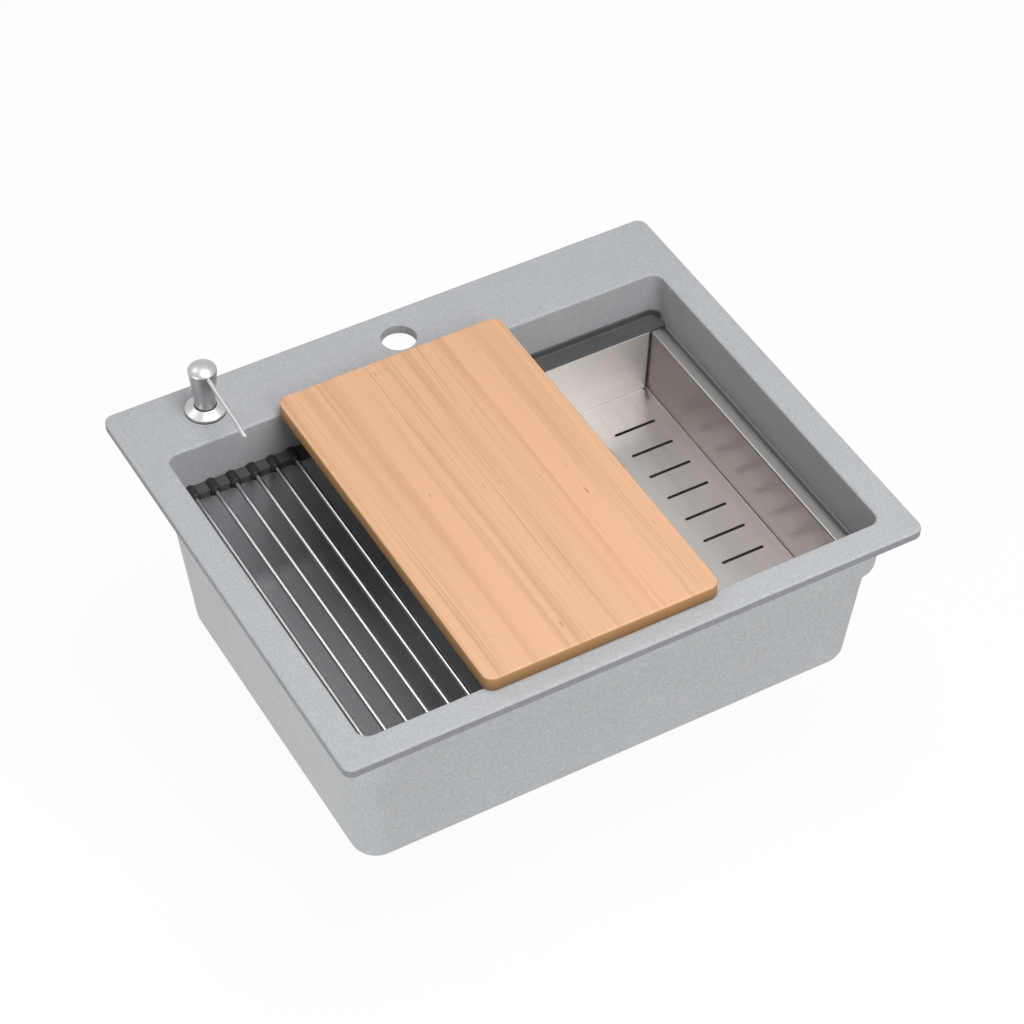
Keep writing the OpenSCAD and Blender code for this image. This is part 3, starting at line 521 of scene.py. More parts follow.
@dataclass(frozen=True)
class SandedBeech(Finish):
    """Beech staves, planed, glued side by side, sanded and oiled.

    Each stave has its own tint, soft streaks and groups of fine straight grain lines along it, and
    a few small dark knots. The sides are painted darker as painted shade, darker still towards the
    underside, and the oil gives a low sheen. The lines are drawn coarser than real, so that they
    show.
    """

    name: str = "beech_staves_sanded"
    slot: str = "board_wood"
    stave_w: float = (BOARD_RIGHT - BOARD_LEFT) / STAVES
    stave_shift: float = 3.0
    streak_w: float = 16.0
    group_w: float = 27.2
    line_w: float = 1.7
    knot_w: float = 4.0
    bend: float = 5.0
    bend_l: float = 170.0
    streak_scale: Point = (1.0, 0.02, 0.5)
    line_scale: Point = (1.0, 0.004, 0.5)
    knot_scale: Point = (1.0, 0.22, 1.0)

    def dress(self, tree: bpy.types.NodeTree, shader: bpy.types.Node,
              place: bpy.types.NodeSocket) -> None:
        """Draw the staves, their streaks and grain lines, and the painted shade on the sides."""
        axes = add_node(tree, "ShaderNodeSeparateXYZ", {"Vector": place})
        across = ranged(tree, axes.outputs["X"], 0.0, 1.0, BOARD_LEFT * MM,
                        (BOARD_LEFT + self.stave_w) * MM, clamp=False)
        stave = add_node(tree, "ShaderNodeMath", {0: across}, operation="FLOOR")
        luck = add_node(tree, "ShaderNodeTexWhiteNoise", {"W": stave.outputs[0]},
                        noise_dimensions="1D")
        shift = add_node(tree, "ShaderNodeVectorMath", {0: luck.outputs["Color"],
                         "Scale": self.stave_shift}, operation="SCALE")
        moved = add_node(tree, "ShaderNodeVectorMath", {0: place, 1: shift.outputs[0]},
                         operation="ADD")
        slow = add_node(tree, "ShaderNodeTexNoise", {"Vector": moved.outputs[0],
                        "Scale": per_size(self.bend_l), "Detail": 1.0})
        bent = add_node(tree, "ShaderNodeVectorMath", {0: slow.outputs["Color"],
                        "Scale": self.bend * MM}, operation="SCALE")
        wavy = add_node(tree, "ShaderNodeVectorMath", {0: moved.outputs[0], 1: bent.outputs[0]},
                        operation="ADD")
        drawn = stretched(tree, wavy.outputs[0], self.streak_scale)
        banded = ranged(tree, noise(tree, drawn, self.streak_w, 2.0), 0.0, 0.55, 0.45, 0.75,
                        interpolation_type="SMOOTHSTEP")
        thin = stretched(tree, wavy.outputs[0], self.line_scale)
        lines = noise(tree, thin, self.line_w, 1.0)
        lined = ranged(tree, lines, 0.0, 1.0, 0.48, 0.7)
        grouped = ranged(tree, noise(tree, drawn, self.group_w, 1.0), 0.08, 0.75, 0.42, 0.62,
                         interpolation_type="SMOOTHSTEP")
        grain = add_node(tree, "ShaderNodeMath", {0: lined, 1: grouped}, operation="MULTIPLY")
        knots = stretched(tree, moved.outputs[0], self.knot_scale)
        flecked = ranged(tree, noise(tree, knots, self.knot_w, 0.0), 0.0, 0.7, 0.84, 0.92)
        tint = blend(tree, luck.outputs["Value"], linear(Wood.PINK.value),
                     linear(Wood.STRAW.value))
        soft = blend(tree, banded, tint, linear(Wood.GRAIN.value))
        ruled = blend(tree, grain.outputs[0], soft, linear(Wood.GRAIN.value))
        marked = blend(tree, flecked, ruled, linear(Wood.FLECK.value))
        # Painted shade: the sides are darker than the top, and darker towards the underside
        height = ranged(tree, axes.outputs["Z"], 0.0, 1.0, BOARD_LOW * MM, BOARD_HIGH * MM)
        painted_side_shade = blend(tree, height, linear(Wood.PAINTED_SHADE_SIDE_FOOT.value), linear(Wood.PAINTED_SHADE_SIDE_TOP.value))
        normal = add_node(tree, "ShaderNodeNewGeometry").outputs["Normal"]
        facing = add_node(tree, "ShaderNodeSeparateXYZ", {"Vector": normal})
        side = ranged(tree, facing.outputs["Z"], 1.0, 0.0, 0.25, 0.7)
        tree.links.new(blend(tree, side, marked, painted_side_shade), shader.inputs["Base Color"])
        tree.links.new(ranged(tree, lines, 0.45, 0.6), shader.inputs["Roughness"])
        self.emboss(tree, shader, lines, 0.12)
        shader.inputs["IOR"].default_value = 1.45


@dataclass(frozen=True)
class BrushedSteel(Finish):
    """Stainless steel, brushed along one direction.

    The belt leaves fine parallel scratches, which stretch every reflection across them, and broad
    soft streaks where it pressed harder. Real scratches are under 0.1 mm wide, and are drawn
    coarser so that they show.
    """

    name: str = "stainless_sheet_brushed"
    slot: str = "sheet_steel"
    colour: str = "C1BDBA"
    streak: Point = ALONG_Y
    scratch: float = 0.45
    rough_low: float = 0.27
    rough_high: float = 0.36
    relief: float = 0.04
    streak_ratio: float = 14.0
    mix_range: Flat = (0.7, 1.3)

    def dress(self, tree: bpy.types.NodeTree, shader: bpy.types.Node,
              place: bpy.types.NodeSocket) -> None:
        """Draw the scratches and the streaks along the brushing."""
        drawn = stretched(tree, place, self.streak)
        scratches = noise(tree, drawn, self.scratch, 3.0, 0.7)
        streaks = noise(tree, drawn, self.scratch * self.streak_ratio, 2.0)
        mixed = add_node(tree, "ShaderNodeMath", {0: scratches, 1: streaks},
                         operation="ADD").outputs[0]
        self.tint(tree, shader, linear(self.colour)[:3],
                  ranged(tree, mixed, 0.95, 1.04, *self.mix_range))
        rough = ranged(tree, mixed, self.rough_low, self.rough_high, *self.mix_range)
        tree.links.new(rough, shader.inputs["Roughness"])
        self.emboss(tree, shader, scratches, self.relief)
        shader.inputs["Metallic"].default_value = 1.0


@dataclass(frozen=True)
class MouldedRubber(Finish):
    """Silicone or rubber, moulded in a spark-eroded mould.

    The mould's fine grain leaves it matt, and dust and fingers leave it a little uneven. The real
    grain is about 0.1 mm wide, and is drawn coarser so that it shows.
    """

    name: str = "silicone_charcoal"
    slot: str = "silicone"
    colour: str = "4B4C4D"
    grain: float = 0.5
    rough: float = 0.6
    dust_w: float = 18.0
    spread: float = 0.08

    def dress(self, tree: bpy.types.NodeTree, shader: bpy.types.Node,
              place: bpy.types.NodeSocket) -> None:
        """Draw the mould's grain and the uneven dust."""
        grain = noise(tree, place, self.grain, 2.0)
        dust = noise(tree, place, self.dust_w, 3.0)
        self.tint(tree, shader, linear(self.colour)[:3], ranged(tree, dust, 0.9, 1.12, *MIDDLE))
        rough = ranged(tree, grain, self.rough - self.spread, self.rough + self.spread)
        tree.links.new(rough, shader.inputs["Roughness"])
        self.emboss(tree, shader, grain, 0.2)
        shader.inputs["IOR"].default_value = 1.42


@dataclass(frozen=True)
class MouldedPlastic(Finish):
    """Polypropylene, polyethylene or nylon, injection moulded.

    The skin has a low sheen with a slight orange peel, and the colour clouds where the melt
    flowed. Natural polyethylene lets some light through.
    """

    name: str = "polypropylene_white"
    slot: str = "white_plastic"
    colour: str = "E4E4E0"
    rough: float = 0.38
    glow: float = 0.0
    flow_w: float = 22.0
    peel_w: float = 1.2
    spread: float = 0.06

    def dress(self, tree: bpy.types.NodeTree, shader: bpy.types.Node,
              place: bpy.types.NodeSocket) -> None:
        """Draw the flow clouds and the orange peel."""
        flow = noise(tree, place, self.flow_w, 3.0)
        peel = noise(tree, place, self.peel_w, 2.0)
        self.tint(tree, shader, linear(self.colour)[:3], ranged(tree, flow, 0.95, 1.03, *MIDDLE))
        rough = ranged(tree, peel, self.rough - self.spread, self.rough + self.spread)
        tree.links.new(rough, shader.inputs["Roughness"])
        self.emboss(tree, shader, peel, 0.12, 0.2)
        shader.inputs["IOR"].default_value = 1.49
        shader.inputs["Transmission Weight"].default_value = self.glow


# Painted shade: the rim's side band is a darker copy of the granite. The back is coarse from the
# mould
GRANITE = GraniteComposite()
GRANITE_EDGE_PAINTED_SHADE = GraniteComposite("granite_composite_edge_painted_shade", resin="858689", dark_grain="7A7B7F",
                                light_grain="8F9094")
GRANITE_BACK = GraniteComposite("granite_composite_back", resin="ADAFB1", dark_grain="9FA1A4",
                                light_grain="BCBDBE", grain=1.2)
BEECH = SandedBeech()
# Each face of the colander is brushed along its own length. Its faces are tinted copies of one
# sheet:
# the end walls lighter as painted light, the side walls darker as painted reflection of the dark
# bowl, the flange darker
SHEET = BrushedSteel()
FLANGE = BrushedSteel("stainless_sheet_flange_painted_shade", "sheet_steel", "ABA9A6", ALONG_Y, scratch=0.45,
                      rough_low=0.42, rough_high=0.52, relief=0.04)
END = BrushedSteel("stainless_sheet_end_wall_painted_light", "sheet_steel", "E6E3E1", ALONG_X, scratch=0.4,
                   rough_low=0.44, rough_high=0.54, relief=0.03)
SIDE = BrushedSteel("stainless_sheet_side_wall_painted_shade", "sheet_steel", "A29C99", ALONG_Y, scratch=0.35,
                    rough_low=0.27, rough_high=0.36, relief=0.04)
ROD = BrushedSteel("stainless_rod_drawn", "rod_steel", "C2C3C4", (1.0, 0.02, 1.0), scratch=0.3,
                   rough_low=0.2, rough_high=0.28, relief=0.03)
SATIN = BrushedSteel("stainless_turned_satin", "dispenser_steel", "B6B6B7", (1.0, 1.0, 0.02),
                     scratch=0.5, rough_low=0.33, rough_high=0.42, relief=0.03)
TUBE = BrushedSteel("stainless_tube_polished", "dispenser_steel", "B4B5B6", (1.0, 0.05, 1.0),
                    scratch=0.2, rough_low=0.36, rough_high=0.4, relief=0.0)
SPRING = BrushedSteel("stainless_spring_wire", "spring_steel", "B9BABD", (1.0, 1.0, 1.0),
                      scratch=0.5, rough_low=0.2, rough_high=0.34, relief=0.05)
WASTE = BrushedSteel("stainless_pressed_polished", "waste_steel", "CFCFCF", (1.0, 1.0, 0.1),
                     scratch=0.4, rough_low=0.14, rough_high=0.26, relief=0.05)
SILICONE = MouldedRubber(colour="464743")
SLEEVE = MouldedRubber("silicone_black", colour="28292A", rough=0.5)
GRIP = MouldedRubber("silicone_grey")
RUBBER = MouldedRubber("rubber_black", "gasket_rubber", "2B2B2C", grain=0.6, rough=0.55)
WHITE = MouldedPlastic()
NYLON = MouldedPlastic("nylon_dark", "dark_plastic", "38393C", rough=0.42)
NATURAL = MouldedPlastic("polyethylene_natural", "bottle_plastic", "ECEDEC", rough=0.35, glow=0.35)


class CastFace(IntEnum):
    """Faces of the cast bowl, by the number of their finish."""

    TOP = 0
    EDGE = 1
    BACK = 2


class RackFace(IntEnum):
    """Faces of the rack's silicone, by the number of their finish."""

    WEB = 0
    SLEEVE = 1


class SheetFace(IntEnum):
    """Faces of the colander's sheet steel, by the number of their finish."""

    FLOOR = 0
    FLANGE = 1
    END = 2
    SIDE = 3


# Sub-assemblies

@dataclass(frozen=True)
class Plan:
    """A rounded rectangle in plan."""

    left: float
    right: float
    front: float
    rear: float
    corner_r: float

    def outline(self, height: float, inset: float = 0.0) -> list[Point]:
        """Give the outline's points, drawn in by inset.

        Args:
            height: Height of the outline.
            inset: How far it is drawn in on every side, with its corners.

        Returns:
            Its points, anticlockwise.
        """
        r = self.corner_r - inset
        centres = [(self.right - self.corner_r, self.rear - self.corner_r),
                   (self.left + self.corner_r, self.rear - self.corner_r),
                   (self.left + self.corner_r, self.front + self.corner_r),
                   (self.right - self.corner_r, self.front + self.corner_r)]
        return [(x, y, height) for q, centre in enumerate(centres)
                for x, y in arc(centre, r, 90 * q, 90 * q + 90, CORNER_STEPS)]

    def grown(self, size: float, corner: float) -> "Plan":
        """Give the plan grown by size on every side, with corner added to its corner radius."""
        return Plan(self.left - size, self.right + size, self.front - size, self.rear + size,
                    self.corner_r + size + corner)

    def drafted(self, run: float) -> "Plan":
        """Give the plan drawn in by run on every side, with the same corner radius."""
        return Plan(self.left + run, self.right - run, self.front + run, self.rear - run,
                    self.corner_r)


@dataclass
class SinkBowl:
    """Cast bowl with its rim, ledges, tap deck and drain.

    Above the ledges the walls run in by tier_share of their height, and below them by wall_share.
    The lip between the two is lowered by side_ease along the side walls. Holes are given by X, Y
    and radius.
    """

    rim: Plan = Plan(-295, 295, -250, 250, 10)
    upper: Plan = Plan(-264.675, 264.675, -220.675, 170.475, 11)
    lower: Plan = Plan(-263.675, 263.675, -207.175, 163.475, 16)
    rim_t: float = 10
    edge_r: float = 2.5
    foot_r: float = 1.0
    ledge_z: float = -45
    floor_z: float = -180
    base_z: float = -190
    wall_t: float = 9.5
    shoulder_r: float = 11.5
    tier_share: float = 0.015
    wall_share: float = 0.085
    fillet_r: float = 14
    ledge_fillet_r: float = 1.2
    lip_r: float = 0.5
    side_ease: float = 8
    side_ease_power: int = 6
    fillet_run: float = 0.35
    step_low: float = 9
    step_high: float = 2
    tap: tuple[float, float, float] = (0, 211.5, 17.5)
    dispenser: tuple[float, float, float] = (-205, 211.5, 15)
    drain: Flat = (0, -21.85)
    recess_r: float = 57.5
    recess_z: float = -183
    drain_r: float = 45
    hole_edge_r: float = 0.7
    hole_sides: int = 64
    hole_steps: int = 6
    steps: int = 8

    def wall(self, plan: Plan, height: float, share: float, inset: float = 0.0) -> list[Point]:
        """Give a drafted wall's outline at a height.

        Args:
            plan: Plan of the wall at the ledge.
            height: Height of the outline.
            share: How far the wall runs in, as a share of its height.
            inset: How far the outline is drawn in besides.

        Returns:
            Its points.
        """
        return plan.drafted(share * (self.ledge_z - height)).outline(height, inset)

    def eased(self, points: Sequence[Point], drop: float) -> list[Point]:
        """Lower an outline along the side walls, and leave it along the ledges.

        Args:
            points: Points of the outline.
            drop: How far it is lowered at the side walls.

        Returns:
            Its new points.
        """
        r = self.lower.corner_r
        shares = [min(max((abs(x) - self.lower.right + r) / r, 0.0), 1.0) for x, _, _ in points]
        return [(x, y, z - drop * share ** self.side_ease_power)
                for (x, y, z), share in zip(points, shares)]

    def round_hole(self, skin: Skin, hole: tuple[float, float, float],
                   heights: Sequence[float]) -> tuple[list, list]:
        """Make the wall of a round hole with a rounded mouth.

        Args:
            skin: The bowl's skin.
            hole: X, Y and radius of the hole.
            heights: Top and bottom of the hole.

        Returns:
            Its rings at the top and at the bottom.
        """
        x, y, radius = hole
        top, bottom = heights
        profile = [(radius + run, top - down) for down, run in
                   reversed(quarter(self.hole_edge_r, self.hole_steps))]
        rings = [skin.ring([(px, py, z) for px, py in circle((x, y), rad, self.hole_sides)])
                 for rad, z in profile + [(radius, bottom)]]
        skin.bridge(rings)
        return rings[0], rings[-1]

    def build(self) -> None:
        """Build the bowl as one closed skin."""
        skin = Skin("sink_bowl_cast")
        top = self.rim_t
        edge = quarter(self.edge_r, self.steps)
        fillet = quarter(self.fillet_r, self.steps)
        tap = self.round_hole(skin, self.tap, (top, 0))
        dispenser = self.round_hole(skin, self.dispenser, (top, 0))

        # Rim: from the top's outer edge, over its rounding and down to the underside
        rim = [skin.ring(self.rim.outline(top - down, run)) for down, run in reversed(edge)]
        rim += [skin.ring(self.rim.outline(rise, run))
                for rise, run in quarter(self.foot_r, self.steps)[::2]]
        skin.bridge(rim[:self.steps], CastFace.TOP)
        # Painted shade: the rim's side band takes the darker copy of the granite
        skin.bridge(rim[self.steps - 1:], CastFace.EDGE)

        # Opening: over its rounded edge, down the upper wall, over the ledge and down to the floor
        inner = [skin.ring(self.wall(self.upper, top - down, self.tier_share, -run))
                 for down, run in reversed(edge)]
        inner += [skin.ring(self.wall(self.upper, self.ledge_z + rise, self.tier_share,
                                      run * self.fillet_run))
                  for rise, run in quarter(self.ledge_fillet_r, self.steps)[::2]]
        inner += [skin.ring(self.eased(self.wall(self.lower, self.ledge_z - down, self.wall_share,
                                                 -run), self.side_ease))
                  for down, run in reversed(quarter(self.lip_r, self.steps)[::2])]
        inner += [skin.ring(self.wall(self.lower, self.floor_z + rise, self.wall_share, run))
                  for run, rise in reversed(fillet)]
        skin.bridge(inner)
        recess = self.round_hole(skin, (*self.drain, self.recess_r), (self.floor_z, self.recess_z))
        drain = self.round_hole(skin, (*self.drain, self.drain_r), (self.recess_z, self.base_z))
        skin.bridge([recess[1], drain[0]])
        skin.fill([inner[-1], recess[0]])
        skin.fill([rim[0], inner[0], tap[0], dispenser[0]])

        # Outside: round the foot, up the wall, over the shoulder and up to the rim's underside
        low = self.lower.grown(self.wall_t, 0)
        high = self.upper.grown(self.wall_t, self.shoulder_r)
        outer = [skin.ring(self.wall(low, self.base_z + rise, self.wall_share, run))
                 for run, rise in fillet]
        foot = self.wall(low, self.ledge_z - self.step_low, self.wall_share)
        brow = self.wall(high, self.ledge_z - self.step_high, self.wall_share)
        for i in range(self.steps + 1):
            t = i / self.steps
            s = t * t * (3 - 2 * t)
            outer.append(skin.ring([(a[0] + (b[0] - a[0]) * s, a[1] + (b[1] - a[1]) * s,
                                     a[2] + (b[2] - a[2]) * t) for a, b in zip(foot, brow)]))
        outer.append(skin.ring(self.wall(high, 0, self.wall_share)))
        skin.bridge(outer, CastFace.BACK)
        skin.fill([drain[1], outer[0]], CastFace.BACK)
        skin.fill([rim[-1], outer[-1], tap[1], dispenser[1]], CastFace.BACK)
        seat(skin.build([GRANITE, GRANITE_EDGE_PAINTED_SHADE, GRANITE_BACK], crease=50), "sink", GRANITE.slot,
             "sink_bowl")


@dataclass
class CuttingBoard:
    """Board of beech staves with eased edges."""

    plan: Plan = Plan(BOARD_LEFT, BOARD_RIGHT, -230.5, 177.5, 11)
    top_r: float = 2.2
    foot_r: float = 1.6
    steps: int = 6

    def build(self) -> None:
        """Build the board with its edges rounded over."""
        skin = Skin("cutting_board_beech")
        rings = [skin.ring(self.plan.outline(BOARD_LOW + rise, run))
                 for run, rise in quarter(self.foot_r, self.steps)]
        rings += [skin.ring(self.plan.outline(BOARD_HIGH - down, run))
                  for down, run in quarter(self.top_r, self.steps)]
        skin.bridge(rings)
        skin.fill([rings[0]])
        skin.fill([rings[-1]])
        seat(skin.build([BEECH]), "board", BEECH.slot, "cutting_board")


@dataclass
class DryingRack:
    """Roll-up drying rack: steel rods whose ends are moulded into silicone."""

    left: float = -262.175
    rod_pitch: float = 21
    rod_count: int = 10
    link_count: int = 4
    tab_w: float = 16.5
    rod_r: float = 2.5
    rod_edge_r: float = 0.6
    rod_z: float = -39.6
    sleeve_r: float = 5.4
    sleeve_l: float = 15.4
    sleeve_edge_r: float = 1.1
    web_w: float = 13
    web_t: float = 8.2
    ledge_z: float = -45
    cap_t: float = 2
    fillet_r: float = 1.6
    fold_gap: float = 0.3
    overlap: float = 0.08
    end_foot_r: float = 0.5
    end_top_r: float = 0.9
    tab_cut: float = 2
    bevel: float = 0.25
    sides: int = 40
    end_steps: int = 3
    rear: float = 170.175
    front: float = -220.375
    corner: Plan = Plan(-264.375, 264.375, -220.375, 170.175, 10.7)

    def rod_x(self, i: int) -> float:
        """Give the place of rod i, counted from 1."""
        return self.left + self.tab_w + (i - 1) * self.rod_pitch

    def body(self, i: int) -> str:
        """Give the body that carries rod i."""
        return f"rack_end_{i}" if i <= self.link_count else "rack"

    def rod_stations(self, x: float, ends: Flat, radius: float,
                     edge_r: float) -> list[tuple[Point, Point, Point, float]]:
        """Give the sections of a round bar along Y with rounded ends.

        Args:
            x: Place of the bar.
            ends: Where it starts and ends.
            radius: Its radius.
            edge_r: Rounding of its ends.

        Returns:
            Its sections, from the front to the rear.
        """
        ring = quarter(edge_r, self.end_steps)
        stations = [((x, ends[0] + run, self.rod_z), (1, 0, 0), (0, 0, 1), radius - down)
                    for down, run in ring]
        stations += [((x, ends[1] - run, self.rod_z), (1, 0, 0), (0, 0, 1), radius - down)
                     for down, run in reversed(ring)]
        return stations

    def rod(self, i: int) -> None:
        """Build rod i, with its ends rounded."""
        skin = Skin(f"rod_{i}_drawn")
        ends = (self.front + self.cap_t, self.rear - self.cap_t)
        skin.sweep(self.rod_stations(self.rod_x(i), ends, self.rod_r, self.rod_edge_r), self.sides)
        seat(skin.build([ROD], crease=40), self.body(i), ROD.slot, f"rack_rod_{i}")

    def spans(self) -> tuple[tuple[Flat, Flat], ...]:
        """Give the spans of the sleeves and of the web along Y, at the rear and at the front."""
        return (((self.rear - self.sleeve_l, self.rear), (self.rear - self.web_w, self.rear)),
                ((self.front, self.front + self.sleeve_l), (self.front, self.front + self.web_w)))

    def bay(self, skin: Skin, x: float, span: Flat, way: int, reach: float, folds: bool) -> None:
        """Mould the web on one side of a sleeve, with the fillet that joins them.

        Args:
            skin: Skin that takes it.
            x: Place of the sleeve.
            span: Where the web starts and ends along Y.
            way: 1 for the web on the sleeve's right, -1 for the left.
            reach: How far the web goes from the sleeve's middle.
            folds: Whether the web ends in a hollow round the next sleeve.
        """
        top = self.ledge_z + self.web_t
        rise = top + self.fillet_r - self.rod_z
        inner_r = self.sleeve_r - self.overlap
        run = math.sqrt((inner_r + self.fillet_r) ** 2 - rise ** 2)
        lean = math.degrees(math.atan2(rise, run))
        outline: list[Flat] = [(0, self.ledge_z)]
        if folds:
            hollow_r = self.sleeve_r + self.fold_gap
            low = math.degrees(math.asin((self.rod_z - self.ledge_z) / hollow_r))
            high = math.degrees(math.asin((self.rod_z - top) / hollow_r))
            outline += arc((reach, self.rod_z), hollow_r, 180 + low, 180 + high, 6)
        else:
            outline += soften([(reach, self.ledge_z, self.end_foot_r), (reach, top, self.end_top_r),
                               (0, top, 0), (0, self.ledge_z, 0)])[:-2]
        outline += arc((run, top + self.fillet_r), self.fillet_r, 270, 180 + lean, 5)
        outline.append((0, self.rod_z))
        skin.extrude([(x + way * a, b) for a, b in outline], *span, finish=RackFace.WEB)

    def corner_tab(self, skin: Skin, span: Flat, side: int) -> None:
        """Mould the tab at the rack's end, which follows the bowl's round corner.

        Args:
            skin: Skin that takes it.
            span: Where the tab starts and ends along Y.
            side: 1 at the rear, -1 at the front.
        """
        wall, edge = (span[1], span[0]) if side > 0 else (span[0], span[1])
        r = self.corner.corner_r
        middle = (self.corner.left + r, wall - side * r)
        turn = math.degrees(math.acos((middle[0] - self.left) / r))
        bend = arc(middle, r, 180 - side * 90, 180 - side * turn, 8)
        outline = [(self.rod_x(1), edge), (self.rod_x(1), wall), *bend,
                   (self.left, edge + side * self.tab_cut), (self.left + self.tab_cut, edge)]
        skin.extrude(outline, self.ledge_z, self.ledge_z + self.web_t, "z", RackFace.WEB)

    def silicone(self) -> None:
        """Mould the folding links and the two end strips."""
        for i in range(1, self.link_count + 1):
            skin = Skin(f"rack_link_{i}_moulded")
            for side, (sleeve, web) in zip((1, -1), self.spans()):
                skin.sweep(self.rod_stations(self.rod_x(i), sleeve, self.sleeve_r,
                                             self.sleeve_edge_r), self.sides,
                           finish=RackFace.SLEEVE)
                self.bay(skin, self.rod_x(i), web, 1, self.rod_pitch, True)
                if i == 1:
                    self.corner_tab(skin, web, side)
            seat(skin.build([SILICONE, SLEEVE], crease=40, bevel=self.bevel), self.body(i),
                 SILICONE.slot, f"rack_link_{i}")
        for name, (sleeve, web) in zip(("rear", "front"), self.spans()):
            skin = Skin(f"rack_strip_{name}_moulded")
            for i in range(self.link_count + 1, self.rod_count + 1):
                x, last = self.rod_x(i), i == self.rod_count
                skin.sweep(self.rod_stations(x, sleeve, self.sleeve_r, self.sleeve_edge_r),
                           self.sides, finish=RackFace.SLEEVE)
                self.bay(skin, x, web, 1, self.tab_w if last else self.rod_pitch / 2, False)
                if i > self.link_count + 1:
                    self.bay(skin, x, web, -1, self.rod_pitch / 2, False)
            seat(skin.build([SILICONE, SLEEVE], crease=40, bevel=self.bevel), "rack",
                 SILICONE.slot, f"rack_strip_{name}")

    def build(self) -> None:
        """Build the rods and the silicone that holds them."""
        for i in range(1, self.rod_count + 1):
            self.rod(i)
        self.silicone()


